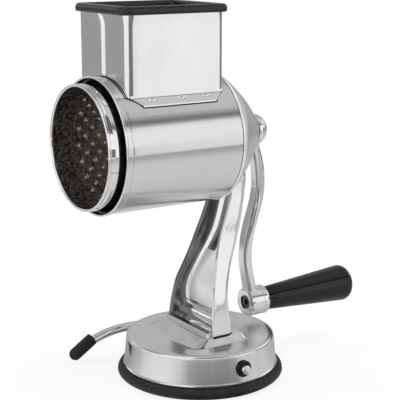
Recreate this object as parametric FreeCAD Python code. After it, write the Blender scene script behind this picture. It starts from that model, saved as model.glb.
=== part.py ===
import FreeCAD
import Part
import math
import os

# Hand-cranked drum shredder on a suction base. Millimetres, +Z up.
# The origin is the middle of the base where the rubber meets the table.
# The drum's axis runs along Y: its mouth faces -Y and the crank is at +Y.

V = FreeCAD.Vector
AX_X, AX_Y, AX_Z = V(1, 0, 0), V(0, 1, 0), V(0, 0, 1)

# ---------------------------------------------------------------- sizes: base
PAD_R = 65.0                # rubber foot, outer radius
PAD_H = 8.6                 # height of its raised rim
PAD_FLOOR = 4.0             # thickness of its membrane
PAD_RIM_T = 4.3             # thickness of the raised rim
PAD_ROUND = 1.8             # rounding of its outer corners
PAD_TAPER = 0.5             # its rim leans inwards by this much
PAN_R_BOTTOM = 60.0         # pan wall, outer radius at its foot
PAN_R_TOP = 58.1            # and at its shoulder
PAN_TOP_Z = 33.6            # pan's flat top
PAN_T = 1.2                 # pan sheet
PAN_SHOULDER_R = 3.0        # rounding between wall and top
PAN_CURL_R = 0.8            # small outward curl above the rubber
PAN_CURL_Z = 10.4
PLATEAU_H = 4.9             # raised pad under the stand's foot
PLATEAU_HALF_X = 31.0       # its flat top
PLATEAU_Y = (-14.6, 19.5)
PLATEAU_SIDE_SLOPE = 6.6    # how far its sides spread down to the pan's top
PLATEAU_FRONT_SLOPE = 15.0
PLATEAU_REAR_SLOPE = 4.4
PLATEAU_CORNER_R = 4.0
PLATEAU_LOW_CORNER_R = 10.0
SEAT_GAP = 0.05             # clearance between seated parts
SCREW_HOLE_GAP = 0.3        # clearance of holes that screws pass through
GROOVE_DEPTH = 0.6          # grooves for the retaining rings
DOME_FLAT_R = 0.4           # flat at the tip of turned domes

# ------------------------------------------------------- sizes: suction lever
AXLE_Z = 21.0               # lever axle, along X
AXLE_R = 3.6
AXLE_END_X = 63.8           # its plain end, on the +X side
LEVER_X = -70.5             # plane in which the lever's arm lies
LEVER_BEND_R = 8.0
# Points of the arm as (y, height above the axle): its crest, its dip and the rod's end.
LEVER_CREST = (-33.0, 0.4)
LEVER_DROOP = (-57.5, -4.6)
LEVER_END = (-72.4, -12.4)
LEVER_START_WAY = V(0, -1, 0.02)   # direction of the arm after the bend
LEVER_END_WAY = V(0, -1, -0.7)     # and at its end
TIP_R = 5.1                 # rubber cap
TIP_WALL_END = 1.8
TIP_SOCKET = 17.0           # length of rod inside the cap
BUSH_FLANGE_R = 6.4         # axle bushes
BUSH_FLANGE_T = 0.7
BUSH_R = 5.4
BUSH_LENGTH = 9.0
RUN_GAP = 0.06              # running clearance on shafts, radial
CAM_R = 7.0
CAM_THROW = 2.0             # eccentricity: half the lift
CAM_WIDTH = 11.0
CAM_PLAY = 0.55             # play of the cam in the yoke's window
CAM_FIT = 0.02              # cam on its axle, radial
CAM_SIDE_PLAY = 0.5         # cam to the yoke's sides
CAM_PIN_R = 1.0
YOKE_WALL = 3.0
LIFT_PLATE_R = 20.0
LIFT_PLATE_T = 2.0
CHEEK_GAP = 0.3             # yoke to bracket cheeks
CHEEK_T = 2.5
CHEEK_HALF_Y = 12.0
CHEEK_DROP = 9.0            # cheek below the axle
PLATE_T = 2.5               # bracket's top plate
PLATE_HALF_X = 27.0
PLATE_Y = (-10.5, 15.5)
AXLE_CLIP_R = 6.0
AXLE_CLIP_T = 1.5

# --------------------------------------------------------------- sizes: stand
# Stations of the strut: height, half width, front face y, back face y.
STRUT_STATIONS = (
    (0.0, 29.4, -9.2, 11.4),
    (12.0, 30.1, -8.3, 9.8),
    (22.0, 30.2, -6.8, 8.7),
    (32.0, 28.8, -5.1, 9.4),
    (42.0, 25.4, -2.1, 12.4),
    (52.0, 22.2, 1.0, 16.5),
    (62.0, 19.2, 4.2, 21.4),
    (73.0, 17.3, 8.0, 26.2),
    (84.0, 17.0, 11.9, 29.2),
    (96.0, 16.7, 15.7, 31.6),
    (107.0, 17.8, 17.2, 33.6),
    (118.0, 20.2, 16.4, 35.2),
    (130.0, 22.5, 15.4, 32.6),
)
STRUT_TOP_DROP = 20.95      # the last station is this far below the drum's axis
STRUT_WALL = 4.2            # side walls of the channel
STRUT_WEB = 4.4             # its back
STRUT_BACK_ROUND = 6.0      # rounding of the two back edges
STRUT_FRONT_ROUND = 1.2
CHANNEL_ROUND = 4.0
CHANNEL_FRONT_ROUND = 0.5
FOOT_LIP_Y = -12.6          # front edge of the foot
FOOT_LIP_H = 3.3
FOOT_FLOOR_H = 9.6          # height of the floor's slope where it meets the web
FOOT_CORNER_R = 2.0
SHELF_H = 2.6               # rib across the web above that slope
SHELF_DEPTH = 3.2
SHELF_GROOVE = 1.2
HEAD_SEAT_Y = 9.2           # front face of the head, where the barrel sits
HEAD_R = 47.0
HEAD_BAND = 2.2             # straight band behind that face
HEAD_MIDDLE = (30.0, 31.0)  # the cone bulges out through this (y, radius)
HEAD_T = 3.6                # wall of the cone
HEAD_END_Y = 46.6           # rear face of the bearing boss
HEAD_END_CHAMFER = 1.4
HEAD_BOSS_R = 12.6
HEAD_BOSS_FRONT_Y = 12.0
HEAD_SPLIT_DROP = 0.6       # strut and head meet this far below the head's rim
FOOT_SCREW_X = 19.0
FOOT_SCREW_Y = (-3.9, 5.1)
FOOT_SCREW_R = 2.0
FOOT_SCREW_DEPTH = 4.6
FOOT_HEAD_R = 3.6
FOOT_HEAD_H = 2.6
FOOT_WASHER_R = 4.3
FOOT_WASHER_T = 0.8

# -------------------------------------------------------------- sizes: barrel
BARREL_R = 49.6
BARREL_T = 0.9
BARREL_FRONT_Y = -91.8
BARREL_COLLAR = 5.0         # width of the turned-back hem at the front
BARREL_COLLAR_T = 0.3
LIP_R = 0.9
REAR_RIM_Y = 6.2            # where the rear rim starts
REAR_RIM_T = 0.45
BACK_FLANGE_T = 1.0
BACK_FLANGE_IN_R = 31.0
BARREL_SCREW_PCD_R = 39.0
BARREL_SCREW_R = 2.0
BARREL_SCREW_HEAD_R = 3.8
BARREL_SCREW_HEAD_H = 2.4
BARREL_SCREW_DEPTH = 8.0
BARREL_SCREW_COUNT = 3
SCREW_BOSS_R = 4.6

# -------------------------------------------------------------- sizes: hopper
HOPPER_HALF_X = 34.2
HOPPER_Y = (-82.2, -1.7)
HOPPER_RISE = 98.7          # drum axis to the hopper's upper edge
HOPPER_T = 1.0
HOPPER_CORNER_R = 2.6
HOPPER_CORNER_GROWTH = 4.0  # its corners are this much rounder at the top
HOPPER_FLARE = 2.0
HOPPER_FLARE_H = 13.0
HOPPER_SEAM_STEP = 0.9      # the lapped seam stands this much proud
HOPPER_SEAM_W = 2.4
HOPPER_PASSAGE_EDGE = 3.3   # the barrel's opening is this much smaller
FLANGE_END_ANGLE = 51.5     # flange's lower edge, degrees from the top
FLANGE_CHAMFER = 7.6
DIMPLE_Y = (-63.0, -38.8, -18.4)
DIMPLE_R = 2.2
TRIM_H = 6.0
TRIM_OUT = 1.5
TRIM_IN = 2.0
TRIM_CAP = 1.4              # trim above the sheet's edge
TRIM_CORNER_R = 7.5

# ---------------------------------------------------------------- sizes: drum
DRUM_FRONT_Y = -103.6
DRUM_BACK_Y = -6.0
DRUM_R = 44.6               # perforated shell, outer
DRUM_T = 0.7
RIM_BAND_W = 8.4            # polished ring round the mouth
RIM_BAND_T = 1.0
RIM_BEAD_R = 1.25
TOOTH_COUNT = 22            # teeth in each row
TOOTH_FIRST_Y = 23.04       # first row behind the mouth
TOOTH_LAST_Y = 7.0          # least distance of the last row from the drum's rear
TOOTH_PITCH_Y = 5.54
TOOTH_SIDES = 6
TOOTH_BASE_R = 2.5
TOOTH_TIP_R = 1.35
TOOTH_H = 1.3
TOOTH_DIMPLE_R = 2.2
TOOTH_HOLE_R = 0.9
DRUM_BACK_T = 1.2
HUB_R = 13.0
HUB_LENGTH = 22.0
SOCKET_HALF = 4.55          # square socket, half across flats
RIVET_PCD_R = 9.6
RIVET_R = 1.3
RIVET_LENGTH = 7.0
RIVET_COUNT = 4

# --------------------------------------------------------- sizes: drive shaft
SHAFT_R = 6.0
SHAFT_SQUARE_HALF = 4.5
SHAFT_SQUARE_LENGTH = 19.0
SHAFT_COLLAR_R = 8.5
SHAFT_COLLAR_FRONT_Y = -5.4
SHAFT_BUSH_R = 8.2
SHAFT_BUSH_FLANGE_R = 10.4
SHAFT_BUSH_FLANGE_T = 1.4
AXIAL_GAP = 0.25            # end play along the shaft
WASHER_R = 10.0
WASHER_T = 1.0
SHAFT_THREAD_R = 4.0
DETENT_BALL_R = 2.0
DETENT_PROUD = 0.45
DETENT_BORE_R = 2.15
DETENT_WIRE_R = 0.3
DETENT_BACK = 9.0           # ball's distance in front of the collar

# --------------------------------------------------------------- sizes: crank
CRANK_RADIUS = 140.0        # drum axis to grip axis
GRIP_OVER_PAN = 15.9        # height of the grip's axis above the pan's top
ARM_HUB_R = 11.9
ARM_HUB_T = 3.9
CAP_STEP = 0.2              # the cap is this much smaller than the hub
CAP_EDGE_H = 0.6
CAP_H = 7.6
# Stations of the arm: height below the drum axis, middle y, width x, depth y.
ARM_STATIONS = (
    (4.0, 49.6, 13.0, 3.4),
    (14.0, 50.2, 11.2, 6.8),
    (21.0, 52.2, 10.6, 8.0),
    (31.0, 54.2, 10.6, 8.5),
    (43.0, 54.9, 10.6, 8.5),
    (53.0, 53.9, 11.0, 8.4),
    (62.0, 51.7, 11.8, 8.0),
    (73.0, 48.1, 12.6, 7.5),
    (84.0, 45.0, 12.4, 7.3),
    (96.0, 43.2, 12.0, 7.3),
    (106.0, 43.2, 12.2, 7.3),
    (116.0, 44.8, 12.6, 7.2),
    (125.0, 46.7, 13.2, 7.1),
    (133.0, 48.4, 13.8, 7.6),
)
ARM_END_RISE = 7.0          # the last station is this far above the grip's axis
ARM_ROUND = 2.2
BOSS_R = 11.5
BOSS_FRONT_Y = 43.6
BOSS_LENGTH = 12.0
BOSS_ROUND = 1.0
RECESS_R = 6.1
RECESS_DEPTH = 5.4
SCREW_R = 3.0
SCREW_HEAD_R = 5.0
SCREW_HEAD_H = 4.4
SCREW_HEX = 2.5             # half across flats
SCREW_HEX_DEPTH = 2.8
COLLAR_LENGTH = 5.4
GRIP_R_NEAR = 9.2
GRIP_NECK_CHAMFER = 0.6
GRIP_R_FAR = 15.0
GRIP_LENGTH = 88.0
GRIP_END_ROUND = 6.5
GRIP_END_CROWN = 1.6
GRIP_BORE_DEPTH = 62.0
GRIP_SPINDLE_LENGTH = 56.0
GRIP_RING_R = 4.6
GRIP_RING_T = 1.2
GRIP_RING_BACK = 5.0        # ring's distance from the spindle's end

# -------------------------------------------------------------- derived places
PLATEAU_TOP_Z = PAN_TOP_Z + PLATEAU_H
FOOT_Z = PLATEAU_TOP_Z + SEAT_GAP
GRIP_Z = PAN_TOP_Z + GRIP_OVER_PAN
DRUM_AXIS_Z = GRIP_Z + CRANK_RADIUS
HOPPER_TOP_Z = DRUM_AXIS_Z + HOPPER_RISE
STRUT_STRETCH = (DRUM_AXIS_Z - STRUT_TOP_DROP - FOOT_Z) / STRUT_STATIONS[-1][0]
ARM_STRETCH = (CRANK_RADIUS - ARM_END_RISE) / ARM_STATIONS[-1][0]


# -------------------------------------------------------------------- helpers
def rod(radius, start, end):
    """Solid cylinder between two points."""
    way = end - start
    return Part.makeCylinder(radius, way.Length, start, way)


def tube(outer, inner, start, end):
    """Cylinder with a through bore."""
    return rod(outer, start, end).cut(rod(inner, start, end))


def block(x, y, z):
    """Box from three (low, high) pairs."""
    size = (x[1] - x[0], y[1] - y[0], z[1] - z[0])
    return Part.makeBox(size[0], size[1], size[2], V(x[0], y[0], z[0]))


def revolved(outline, origin, axis):
    """Solid of revolution of a closed outline made of edges or points."""
    if isinstance(outline[0], V):
        wire = Part.makePolygon(list(outline) + [outline[0]])
    else:
        wire = Part.Wire(outline)
    return Part.Face(wire).revolve(origin, axis, 360)


def about_drum(points):
    """Outline given as (y, radius), in the plane above the drum's axis."""
    return [V(0, y, DRUM_AXIS_Z + r) for y, r in points]


def turned(points):
    """Solid of revolution about the drum's axis."""
    return revolved(about_drum(points), V(0, 0, DRUM_AXIS_Z), AX_Y)


def rounded_wire(x, y, radius, z):
    """Rectangle with rounded corners in the plane at height z."""
    (x0, x1), (y0, y1), r = x, y, radius
    k = r * (1 - math.sqrt(0.5))
    corners = (
        (V(x1 - r, y0, z), V(x1 - k, y0 + k, z), V(x1, y0 + r, z)),
        (V(x1, y1 - r, z), V(x1 - k, y1 - k, z), V(x1 - r, y1, z)),
        (V(x0 + r, y1, z), V(x0 + k, y1 - k, z), V(x0, y1 - r, z)),
        (V(x0, y0 + r, z), V(x0 + k, y0 + k, z), V(x0 + r, y0, z)),
    )
    edges = []
    for i, (start, middle, end) in enumerate(corners):
        edges.append(Part.Arc(start, middle, end).toShape())
        edges.append(Part.LineSegment(end, corners[(i + 1) % 4][0]).toShape())
    return Part.Wire(edges)


def dome(start, middle, tip):
    """Outline of a dome up to its tip on the axis, where it ends in a small flat."""
    flat = tip + V(0, 0, DOME_FLAT_R)
    curve = Part.BSplineCurve()
    curve.interpolate([start, middle, flat])
    return [curve.toShape(), Part.LineSegment(flat, tip).toShape()]


def copies_about(shape, count, origin, axis, first=0.0):
    """The shape repeated evenly about an axis."""
    made = []
    for i in range(count):
        copy = shape.copy()
        copy.rotate(origin, axis, first + 360.0 * i / count)
        made.append(copy)
    return made


def save(name, shape):
    """Writes one node."""
    solids = shape.Solids
    kept = solids[0] if len(solids) == 1 else Part.makeCompound(solids)
    kept.exportStep("parts/" + name + ".step")


# ----------------------------------------------------------------- base parts
PLATE_TOP_Z = PLATEAU_TOP_Z - PAN_T - SEAT_GAP
CAM_Z = AXLE_Z - CAM_THROW


def make_suction_pad():
    """Flat membrane with a raised rim round the pan."""
    c = PAD_ROUND
    rim_in = PAD_R - PAD_RIM_T
    outline = [
        Part.LineSegment(V(0, 0, 0), V(PAD_R - c, 0, 0)).toShape(),
        Part.Arc(V(PAD_R - c, 0, 0), V(PAD_R - c * 0.29, 0, c * 0.29), V(PAD_R, 0, c)).toShape(),
        Part.LineSegment(V(PAD_R, 0, c), V(PAD_R - PAD_TAPER, 0, PAD_H - c)).toShape(),
        Part.Arc(V(PAD_R - PAD_TAPER, 0, PAD_H - c), V(PAD_R - PAD_TAPER - c * 0.29, 0, PAD_H - c * 0.29),
                 V(PAD_R - PAD_TAPER - c, 0, PAD_H)).toShape(),
        Part.LineSegment(V(PAD_R - PAD_TAPER - c, 0, PAD_H), V(rim_in, 0, PAD_H)).toShape(),
        Part.LineSegment(V(rim_in, 0, PAD_H), V(rim_in, 0, PAD_FLOOR)).toShape(),
        Part.LineSegment(V(rim_in, 0, PAD_FLOOR), V(0, 0, PAD_FLOOR)).toShape(),
        Part.LineSegment(V(0, 0, PAD_FLOOR), V(0, 0, 0)).toShape(),
    ]
    return revolved(outline, V(0, 0, 0), AX_Z)


def pan_body(inset):
    """Solid bounded by the pan's outer skin, moved inwards by inset."""
    low = PAD_FLOOR + SEAT_GAP
    r0, r1, top = PAN_R_BOTTOM - inset, PAN_R_TOP - inset, PAN_TOP_Z - inset
    c = PAN_SHOULDER_R - inset
    k = c * (1 - math.sqrt(0.5))
    outline = [
        Part.LineSegment(V(0, 0, low), V(r0, 0, low)).toShape(),
        Part.LineSegment(V(r0, 0, low), V(r1, 0, top - c)).toShape(),
        Part.Arc(V(r1, 0, top - c), V(r1 - k, 0, top - k), V(r1 - c, 0, top)).toShape(),
        Part.LineSegment(V(r1 - c, 0, top), V(0, 0, top)).toShape(),
        Part.LineSegment(V(0, 0, top), V(0, 0, low)).toShape(),
    ]
    body = revolved(outline, V(0, 0, 0), AX_Z)
    half = PLATEAU_HALF_X - inset
    ys = (PLATEAU_Y[0] + inset, PLATEAU_Y[1] - inset)
    low_x = half + PLATEAU_SIDE_SLOPE
    low_y = (ys[0] - PLATEAU_FRONT_SLOPE, ys[1] + PLATEAU_REAR_SLOPE)
    foot = rounded_wire((-low_x, low_x), low_y, PLATEAU_LOW_CORNER_R - inset, top)
    head = rounded_wire((-half, half), ys, PLATEAU_CORNER_R - inset, top + PLATEAU_H)
    return body.fuse(Part.makeLoft([foot, head], True, True))


def make_base_pan():
    """Thin pressed shell, open below, with a plateau, screw holes and bush holes."""
    curl = Part.makeTorus(PAN_R_BOTTOM - 0.2, PAN_CURL_R, V(0, 0, PAN_CURL_Z), AX_Z)
    body = pan_body(0.0).fuse(curl).removeSplitter()
    inner = pan_body(PAN_T)
    floor = rod(PAN_R_BOTTOM - PAN_T, V(0, 0, 0), V(0, 0, PAD_FLOOR + 1.0))
    body = body.cut(inner).cut(floor)
    reach = PAN_R_BOTTOM + 5
    body = body.cut(rod(BUSH_R + SEAT_GAP, V(-reach, 0, AXLE_Z), V(reach, 0, AXLE_Z)))
    for x, y in foot_screw_places():
        low, high = V(x, y, PAN_TOP_Z - PAN_T * 2), V(x, y, PLATEAU_TOP_Z + 1)
        body = body.cut(rod(FOOT_SCREW_R + SCREW_HOLE_GAP, low, high))
    return body


def foot_screw_places():
    return [(sx * FOOT_SCREW_X, y) for sx in (-1, 1) for y in FOOT_SCREW_Y]


def make_axle_bracket():
    """Plate under the plateau with two cheeks that carry the lever's axle."""
    low = PLATE_TOP_Z - PLATE_T
    bracket = block((-PLATE_HALF_X, PLATE_HALF_X), PLATE_Y, (low, PLATE_TOP_Z))
    inner = CAM_WIDTH / 2 + CAM_SIDE_PLAY + CHEEK_GAP
    for side in (-1, 1):
        xs = sorted((side * inner, side * (inner + CHEEK_T)))
        bracket = bracket.fuse(block(xs, (-CHEEK_HALF_Y + 2, CHEEK_HALF_Y), (AXLE_Z - CHEEK_DROP, low)))
    bracket = bracket.cut(rod(AXLE_R + RUN_GAP, V(-PLATE_HALF_X, 0, AXLE_Z), V(PLATE_HALF_X, 0, AXLE_Z)))
    for x, y in foot_screw_places():
        bracket = bracket.cut(rod(FOOT_SCREW_R + SCREW_HOLE_GAP, V(x, y, low - 1), V(x, y, PLATE_TOP_Z + 1)))
    return bracket.removeSplitter()


def make_foot_washers():
    top = PLATE_TOP_Z - PLATE_T - SEAT_GAP
    rings = []
    for x, y in foot_screw_places():
        low, high = V(x, y, top - FOOT_WASHER_T), V(x, y, top)
        rings.append(tube(FOOT_WASHER_R, FOOT_SCREW_R + SCREW_HOLE_GAP, low, high))
    return Part.makeCompound(rings)


def make_foot_screws():
    """Cap screws that come up through plate and pan into the stand's foot."""
    under = PLATE_TOP_Z - PLATE_T - 2 * SEAT_GAP - FOOT_WASHER_T
    screws = []
    for x, y in foot_screw_places():
        shank = rod(FOOT_SCREW_R, V(x, y, under), V(x, y, PLATEAU_TOP_Z + FOOT_SCREW_DEPTH))
        head = rod(FOOT_HEAD_R, V(x, y, under - FOOT_HEAD_H), V(x, y, under))
        slot = rod(FOOT_SCREW_R * 0.9, V(x, y, under - FOOT_HEAD_H), V(x, y, under - FOOT_HEAD_H / 2))
        screws.append(shank.fuse(head).cut(slot))
    return Part.makeCompound(screws)


def make_axle_bushes():
    """Black flanged bushes in both side walls of the pan."""
    bushes = []
    for side in (-1, 1):
        wall = side * (PAN_R_BOTTOM - 0.55)
        flange_end = wall + side * BUSH_FLANGE_T
        inner_end = wall - side * BUSH_LENGTH
        bush = rod(BUSH_FLANGE_R, V(wall, 0, AXLE_Z), V(flange_end, 0, AXLE_Z))
        bush = bush.fuse(rod(BUSH_R, V(wall, 0, AXLE_Z), V(inner_end, 0, AXLE_Z)))
        bore = rod(AXLE_R + RUN_GAP, V(flange_end + side, 0, AXLE_Z), V(inner_end - side, 0, AXLE_Z))
        bushes.append(bush.cut(bore))
    return Part.makeCompound(bushes)


def lever_path():
    """Middle line of the lever: through the base, round a bend, over a crest and down."""
    r = LEVER_BEND_R
    k = r * (1 - math.sqrt(0.5))
    start = V(AXLE_END_X, 0, AXLE_Z)
    bend_a = V(LEVER_X + r, 0, AXLE_Z)
    bend_m = V(LEVER_X + k, -k, AXLE_Z)
    bend_b = V(LEVER_X, -r, AXLE_Z)
    crest, droop, end = [V(LEVER_X, y, AXLE_Z + up) for y, up in (LEVER_CREST, LEVER_DROOP, LEVER_END)]
    arm = Part.BSplineCurve()
    arm.interpolate([bend_b, crest, droop, end], InitialTangent=LEVER_START_WAY,
                    FinalTangent=LEVER_END_WAY, Scale=False)
    return start, bend_a, bend_m, bend_b, arm


def make_lever_rod():
    start, bend_a, bend_m, bend_b, arm = lever_path()
    path = Part.Wire([
        Part.LineSegment(start, bend_a).toShape(),
        Part.Arc(bend_a, bend_m, bend_b).toShape(),
        arm.toShape(),
    ])
    section = Part.Wire(Part.Circle(start, AX_X, AXLE_R).toShape())
    lever = path.makePipeShell([section], True, False)
    lever = lever.cut(cam_pin_shape(0.0))
    groove = tube(AXLE_R + 1, AXLE_R - GROOVE_DEPTH, axle_clip_at(-0.1), axle_clip_at(AXLE_CLIP_T + 0.1))
    return lever.cut(groove)


def axle_clip_at(offset):
    """Point on the axle, measured outwards from the clip's inner face."""
    inner_face = CAM_WIDTH / 2 + CAM_SIDE_PLAY + CHEEK_GAP + CHEEK_T + 0.3
    return V(inner_face + offset, 0, AXLE_Z)


def make_axle_clip():
    """Open ring in a groove outside the bracket's cheek."""
    ring = tube(AXLE_CLIP_R, AXLE_R - GROOVE_DEPTH + SEAT_GAP, axle_clip_at(0), axle_clip_at(AXLE_CLIP_T))
    x0 = axle_clip_at(-1).x
    mouth = block((x0, x0 + 4), (-1.6, 1.6), (AXLE_Z - AXLE_CLIP_R - 1, AXLE_Z))
    return ring.cut(mouth)


def tip_frame():
    """The tip's end point and the direction the rod points there."""
    arm = lever_path()[4]
    last = arm.LastParameter
    direction = arm.tangent(last)[0]
    return arm.value(last), direction


def make_lever_tip():
    """Rubber cap over the rod's end, with a rounded nose."""
    arm = lever_path()[4]
    end, direction = tip_frame()
    nose = end + direction * TIP_WALL_END
    total = TIP_SOCKET + TIP_WALL_END
    cap = rod(TIP_R, nose - direction * total, nose)
    ball = Part.makeSphere(TIP_R, nose)
    flat = rod(TIP_R + 1, nose - direction * (2 * TIP_R), nose)
    cap = cap.fuse(ball.cut(flat))
    circle = Part.Circle(arm.value(arm.FirstParameter), LEVER_START_WAY, AXLE_R + SEAT_GAP)
    core = Part.Wire(arm.toShape()).makePipeShell([Part.Wire(circle.toShape())], True, False)
    return cap.cut(core)


def cam_pin_shape(gap):
    reach = CAM_R - 0.8
    return rod(CAM_PIN_R + gap, V(0, 0, CAM_Z - reach), V(0, 0, CAM_Z + reach))


def make_eccentric_cam():
    half = CAM_WIDTH / 2
    cam = rod(CAM_R, V(-half, 0, CAM_Z), V(half, 0, CAM_Z))
    cam = cam.cut(rod(AXLE_R + CAM_FIT, V(-half - 1, 0, AXLE_Z), V(half + 1, 0, AXLE_Z)))
    return cam.cut(cam_pin_shape(0.0))


def make_pad_lifter():
    """Plate on the middle of the rubber, with a yoke round the cam."""
    low = PAD_FLOOR + SEAT_GAP
    plate = rod(LIFT_PLATE_R, V(0, 0, low), V(0, 0, low + LIFT_PLATE_T))
    half_x = CAM_WIDTH / 2 + CAM_SIDE_PLAY
    window_y = CAM_R + CAM_THROW + CAM_PLAY
    window_z = CAM_R + CAM_PLAY
    yoke = block((-half_x, half_x), (-window_y - YOKE_WALL, window_y + YOKE_WALL),
                 (low + LIFT_PLATE_T, CAM_Z + window_z + YOKE_WALL))
    window = block((-half_x - 1, half_x + 1), (-window_y, window_y),
                   (CAM_Z - window_z, CAM_Z + window_z))
    return plate.fuse(yoke).cut(window)


# ---------------------------------------------------------------------- stand
def strut_section(station, inset_side, inset_front, inset_back, corner_front, corner_back):
    """Closed section of the strut at one station."""
    dz, half, front, back = station
    z = FOOT_Z + dz * STRUT_STRETCH
    x = half - inset_side
    y0, y1 = front + inset_front, back - inset_back
    f, b = corner_front, corner_back
    kf, kb = f * (1 - math.sqrt(0.5)), b * (1 - math.sqrt(0.5))
    corners = (
        (V(x - f, y0, z), V(x - kf, y0 + kf, z), V(x, y0 + f, z)),
        (V(x, y1 - b, z), V(x - kb, y1 - kb, z), V(x - b, y1, z)),
        (V(-x + b, y1, z), V(-x + kb, y1 - kb, z), V(-x, y1 - b, z)),
        (V(-x, y0 + f, z), V(-x + kf, y0 + kf, z), V(-x + f, y0, z)),
    )
    edges = []
    for i, (start, middle, end) in enumerate(corners):
        edges.append(Part.Arc(start, middle, end).toShape())
        edges.append(Part.LineSegment(end, corners[(i + 1) % 4][0]).toShape())
    return Part.Wire(edges)


def strut_body():
    wires = [strut_section(s, 0, 0, 0, STRUT_FRONT_ROUND, STRUT_BACK_ROUND) for s in STRUT_STATIONS]
    return Part.makeLoft(wires, True, False)


def strut_channel():
    ahead = -6.0
    wires = [strut_section(s, STRUT_WALL, ahead, STRUT_WEB, CHANNEL_FRONT_ROUND, CHANNEL_ROUND)
             for s in STRUT_STATIONS]
    return Part.makeLoft(wires, True, False)


def head_solid(inset):
    """The cone-shaped head, from its seat to its bearing boss, moved inwards by inset."""
    z = DRUM_AXIS_Z
    y0, y1 = HEAD_SEAT_Y + SEAT_GAP, HEAD_END_Y - HEAD_END_CHAMFER - inset
    band_end = V(0, y0 + HEAD_BAND, z + HEAD_R - inset)
    middle = V(0, HEAD_MIDDLE[0] - inset * 0.7, z + HEAD_MIDDLE[1] - inset * 0.7)
    boss_edge = V(0, y1, z + HEAD_BOSS_R + HEAD_END_CHAMFER - inset * 0.2)
    front, rim, back = V(0, y0, z), V(0, y0, z + HEAD_R - inset), V(0, y1, z)
    outline = [
        Part.LineSegment(front, rim).toShape(),
        Part.LineSegment(rim, band_end).toShape(),
        Part.Arc(band_end, middle, boss_edge).toShape(),
        Part.LineSegment(boss_edge, back).toShape(),
        Part.LineSegment(back, front).toShape(),
    ]
    return revolved(outline, V(0, 0, z), AX_Y)


def strut_floor():
    """Sloping floor between the walls at the foot, with a rib where it meets the web."""
    z0 = FOOT_Z
    half = STRUT_STATIONS[0][1]
    web = STRUT_STATIONS[1][3] - STRUT_WEB
    lip = z0 + FOOT_LIP_H
    top = z0 + FOOT_FLOOR_H
    rib_y = web - SHELF_DEPTH
    groove_y, behind = rib_y + SHELF_GROOVE, web + 2.0
    outline = Part.makePolygon([
        V(-half, FOOT_LIP_Y, z0), V(-half, FOOT_LIP_Y, lip), V(-half, FOOT_LIP_Y + 2.0, lip + 0.7),
        V(-half, rib_y, top), V(-half, groove_y, top), V(-half, groove_y, top + 0.8),
        V(-half, rib_y, top + 0.8), V(-half, rib_y, top + SHELF_H),
        V(-half, behind, top + SHELF_H + 1.0), V(-half, behind, z0), V(-half, FOOT_LIP_Y, z0),
    ])
    floor = Part.Face(outline).extrude(V(2 * half, 0, 0))
    plan = rounded_wire((-half, half), (FOOT_LIP_Y, behind), FOOT_CORNER_R, z0 - 1)
    return floor.common(Part.Face(plan).extrude(V(0, 0, FOOT_FLOOR_H + SHELF_H + 5)))


def make_stand():
    """One casting, as two solids that meet in a flat face: foot and strut, and the head.

    The head carries the barrel and the shaft.
    """
    head = head_solid(0.0)
    front, back = V(0, HEAD_BOSS_FRONT_Y, DRUM_AXIS_Z), V(0, HEAD_END_Y, DRUM_AXIS_Z)
    stand = strut_body().cut(strut_channel()).fuse([strut_floor(), head]).cut(head_solid(HEAD_T))
    bosses = [rod(HEAD_BOSS_R, front, back)]
    for place in barrel_screw_places(HEAD_SEAT_Y + SEAT_GAP):
        bosses.append(rod(SCREW_BOSS_R, place, place + V(0, BARREL_SCREW_DEPTH + 2.0, 0)).common(head))
    stand = stand.fuse(bosses)
    # The strut's front edges end where the barrel begins.
    barrel_room = drum_cylinder(BARREL_R + 1.2, BARREL_FRONT_Y, HEAD_SEAT_Y + SEAT_GAP)
    holes = [barrel_room, rod(SHAFT_BUSH_R + SEAT_GAP, front - AX_Y, back + AX_Y)]
    for place in barrel_screw_places(HEAD_SEAT_Y):
        holes.append(rod(BARREL_SCREW_R, place, place + V(0, BARREL_SCREW_DEPTH, 0)))
    for x, y in foot_screw_places():
        holes.append(rod(FOOT_SCREW_R, V(x, y, FOOT_Z - 1), V(x, y, PLATEAU_TOP_Z + FOOT_SCREW_DEPTH)))
    stand = stand.cut(holes).removeSplitter()
    split_z = DRUM_AXIS_Z - HEAD_R - HEAD_SPLIT_DROP
    reach = PAD_R + HEAD_R
    below = block((-reach, reach), (-reach, reach), (0, split_z))
    return stand.common(below), stand.cut(below)


def make_shaft_bush():
    """Flanged bearing bush in the head's boss."""
    face = HEAD_BOSS_FRONT_Y - SEAT_GAP
    front = V(0, face - SHAFT_BUSH_FLANGE_T, DRUM_AXIS_Z)
    seat = V(0, face, DRUM_AXIS_Z)
    back = V(0, HEAD_END_Y - 0.2, DRUM_AXIS_Z)
    bush = rod(SHAFT_BUSH_R, front, back).fuse(rod(SHAFT_BUSH_FLANGE_R, front, seat))
    return bush.cut(rod(SHAFT_R + RUN_GAP, front - AX_Y, back + AX_Y))


# --------------------------------------------------------------------- barrel
def barrel_screw_places(y):
    """Points on the screws' circle; one screw is at the bottom."""
    places = []
    for i in range(BARREL_SCREW_COUNT):
        angle = math.radians(-90 + 360.0 * i / BARREL_SCREW_COUNT)
        places.append(V(BARREL_SCREW_PCD_R * math.cos(angle), y,
                        DRUM_AXIS_Z + BARREL_SCREW_PCD_R * math.sin(angle)))
    return places


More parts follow.
